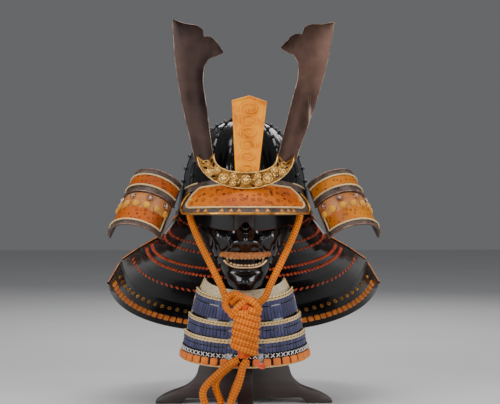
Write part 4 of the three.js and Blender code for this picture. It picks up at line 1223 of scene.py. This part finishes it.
# Half width, then Y and Z of the sides, then Y and Z of the front
THROAT_EDGES = [
    (67, -44, 222, -91, 203), (78, -49, 199, -99, 181), (90, -54, 160, -109, 144),
    (97, -57, 133, -116, 118), (103, -59, 111, -120, 97), (108, -60, 92, -125, 79),
]
THROAT_CORE = spot(0, 40, 130)


def throat_face(lame):
    def face_at(u, v):
        share = v * 1.22 - 0.22 if lame else v
        half, side_y, side_z, front_y, front_z = mixed(THROAT_EDGES[lame],
                                                       THROAT_EDGES[lame + 1], share)
        angle = radians(-86 + 172 * u)
        proud = 3.2 * (1 - share) if lame else 0
        return spot((half + proud) * sin(angle),
                    side_y + (front_y - side_y) * cos(angle) - proud,
                    side_z + (front_z - side_z) * cos(angle))
    return face_at


def throat_seat(lame, u, v, lift):
    return seat_on(throat_face(lame), u, v, THROAT_CORE, lift)


cream_leather = finish_named("cream_leather", Roughness=0.6)
cream_cells = node(cream_leather, "TexVoronoi", {"Vector": where(cream_leather), "Scale": 210,
                                                 "Randomness": 1.0}).outputs["Distance"]
cream_fleck = ramp(cream_leather, cream_cells, (0.16, 0.85), (0.22, 0.0))
cream_ground = ramp(cream_leather, grain(cream_leather, 30, 5), (0.3, (0.55, 0.42, 0.24)),
                    (0.7, (0.82, 0.7, 0.48)))
shade(cream_leather, Normal=raised(cream_leather, grain(cream_leather, 600, 3), 0.35, 0.0005),
      Base_Color=blended(cream_leather, cream_fleck, cream_ground, (0.22, 0.1, 0.04)))
plate("throat_top_leather", throat_face(0), 60, 6, 2.5, THROAT_CORE, cream_leather,
      "cream_leather", ["throat_lame_1"])
blue_silk = toned("blue_silk_lacing", (75, 4, 0, (1, 1, 0.35)),
                  [(0.28, (0.012, 0.013, 0.05)), (0.55, (0.04, 0.042, 0.13)),
                   (0.78, (0.12, 0.115, 0.26))], Roughness=0.6, Sheen_Weight=0.4)
shade(blue_silk, Normal=raised(blue_silk, weave(blue_silk, 380, 1.5), 0.5, 0.0005))
for lame in range(1, 5):
    plate(f"throat_plate_{lame + 1}", throat_face(lame), 60, 6, 2.5, THROAT_CORE, lacquer,
          "black_lacquer", [f"throat_lame_{lame + 1}"])
# Rows of flat silk strands on each lame below the first, from its upper edge down: short ones
# that bring the lacing over the edge, then long ones that reach the lame below
STRANDS = 40
LACING_ROWS = {1: [(0.13, 0.3), (0.34, 0.8)], 2: [(0.18, 0.38), (0.43, 0.8)],
               3: [(0.2, 0.46), (0.52, 0.84)]}
for lame, rows in LACING_ROWS.items():
    face_at, straps = throat_face(lame), []
    for u in spaced(STRANDS, 0.01):
        left, right = (face_at(u + 0.49 * turn / STRANDS, 0.5) for turn in (-1, 1))
        width = (right - left).length / MM * 0.93
        for top, foot in rows:
            high = (face_at(u, foot) - face_at(u, top)).length / MM
            straps.append((throat_seat(lame, u, (top + foot) / 2, 1.1), (width, high, 2.6)))
    set_out(f"throat_lacing_{lame + 1}", soft_pad, straps, blue_silk, "blue_lacing")

# A pale twisted pair with black specks between crosses the upper edge of three lames
braids, specks = [], []
for lame, rows in {1: (0.02, 0.105), 2: (0.02, 0.13), 3: (0.02, 0.16)}.items():
    face_at = lifted(throat_face(lame), THROAT_CORE, 1.4)
    braids += [traced(face_at, (0.01, v), (0.99, v), 40) for v in rows]
    specks += [(throat_seat(lame, u, sum(rows) / 2, 2.6), (1.8, 2.4, 1.8), 1)
               for u in spaced(46, 0.02)]
trim("throat_cross_braid", braids, 4.0, cream_cord, "cream_braid", twist=7)
set_out("throat_braid_specks", knob, specks, lacquer, "black_lacquer")

# The foot: white crosses and bars on black, then a row of orange tufts
face_at = lifted(throat_face(4), THROAT_CORE, 1.0)
crosses = [traced(face_at, (u - lean * 0.011, 0.06), (u + lean * 0.011, 0.34), 2)
           for u in spaced(30, 0.02) for lean in (-1, 1)]
white_silk = toned("white_silk", (300,), [(0.3, (0.45, 0.42, 0.4)), (0.6, (0.85, 0.83, 0.8))],
                   Roughness=0.7)
trim("throat_cross_stitches", crosses, 1.5, white_silk, "cream_braid", twist=0, sides=5)
orange_tufts = finish_named("orange_silk_tufts", Roughness=0.65, Sheen_Weight=0.2)
tuft_weave = weave(orange_tufts, 400, 2.0, "X")
tuft_tone = weighed(orange_tufts, tuft_weave, 0.3, grain(orange_tufts, 70), 0.7)
shade(orange_tufts, Normal=raised(orange_tufts, tuft_weave, 0.5, 0.0005),
      Base_Color=ramp(orange_tufts, tuft_tone, (0.25, (0.6, 0.09, 0.002)),
                      (0.7, (0.9, 0.25, 0.006))))
tufts = [(throat_seat(4, u, 0.68, 1.8), (12.8, 12.5, 6)) for u in spaced(17, 0.03)]
set_out("throat_tufts", soft_pad, tufts, orange_tufts, "orange_lacing")
edges = [traced(lifted(throat_face(lame), THROAT_CORE, 0.6), (u, 0.2 if lame else 0), (u, 0.98), 5)
         for u in (0.004, 0.996) for lame in range(5)]
edges.append(traced(lifted(throat_face(4), THROAT_CORE, 0.2), (0, 0.99), (1, 0.99), 40))
trim("throat_edge_cord", edges, 3.2, cream_cord, "cream_braid", twist=5)

# ---------- stand ----------
# Two flared boards of dark lacquered wood cross under a square post. The post carries a
# rounded block inside the bowl, and a fork on it holds the mask.

dark_wood = finish_named("dark_wood", Coat_Weight=0.25, Coat_Roughness=0.25)
wood_figure = grain(dark_wood, 26, 7, 4, (0.12, 0.12, 1))
wood_fine = grain(dark_wood, 220, 4, 0, (0.06, 0.06, 1))
wood_colour = ramp(dark_wood, weighed(dark_wood, wood_figure, 0.65, wood_fine, 0.35),
                   (0.32, (0.014, 0.008, 0.007)), (0.55, (0.045, 0.026, 0.022)),
                   (0.78, (0.1, 0.062, 0.052)))
shade(dark_wood, Base_Color=wood_colour, Normal=raised(dark_wood, wood_fine, 0.25, 0.0006),
      Roughness=ramp(dark_wood, wood_figure, (0.3, 0.32), (0.7, 0.52)))


def eased_copy(name, cad_node, width):
    """The solid's own shape with its edges eased."""
    bm = bmesh.new()
    bm.from_mesh(bpy.data.objects[cad_node].data)
    bmesh.ops.remove_doubles(bm, verts=bm.verts, dist=1e-5)
    bmesh.ops.dissolve_limit(bm, angle_limit=radians(1), verts=bm.verts, edges=bm.edges)
    ease_sharp(bm, 0.5, width, 3)
    bmesh.ops.triangulate(bm, faces=[face for face in bm.faces if len(face.verts) > 4])
    return piece_of(bm, name, dark_wood, "dark_wood", [cad_node])


def finish_solid(name, finish):
    materials = bpy.data.objects[name].data.materials
    materials.clear()
    materials.append(finish)


eased_copy("stand_board_across", "stand_side_board", 1.6)
eased_copy("stand_board_front", "stand_front_board", 1.6)
eased_copy("stand_post_eased", "stand_post", 2.0)
finish_solid("head_block", dark_wood)
finish_solid("mask_bracket", dark_wood)

# ---------- horn base plate ----------
# The pierced crescent of the horn base keeps its own solid, in a duller gilt than its bosses.

aged_gilt = toned("aged_gilt", (90, 6, 3), [(0.3, (0.12, 0.04, 0.01)), (0.7, (0.5, 0.24, 0.05))],
                  [(0.3, 0.6), (0.7, 0.35)], ((500, 3), 0.4, 0.0005), Metallic=1.0)
finish_solid("horn_base", aged_gilt)
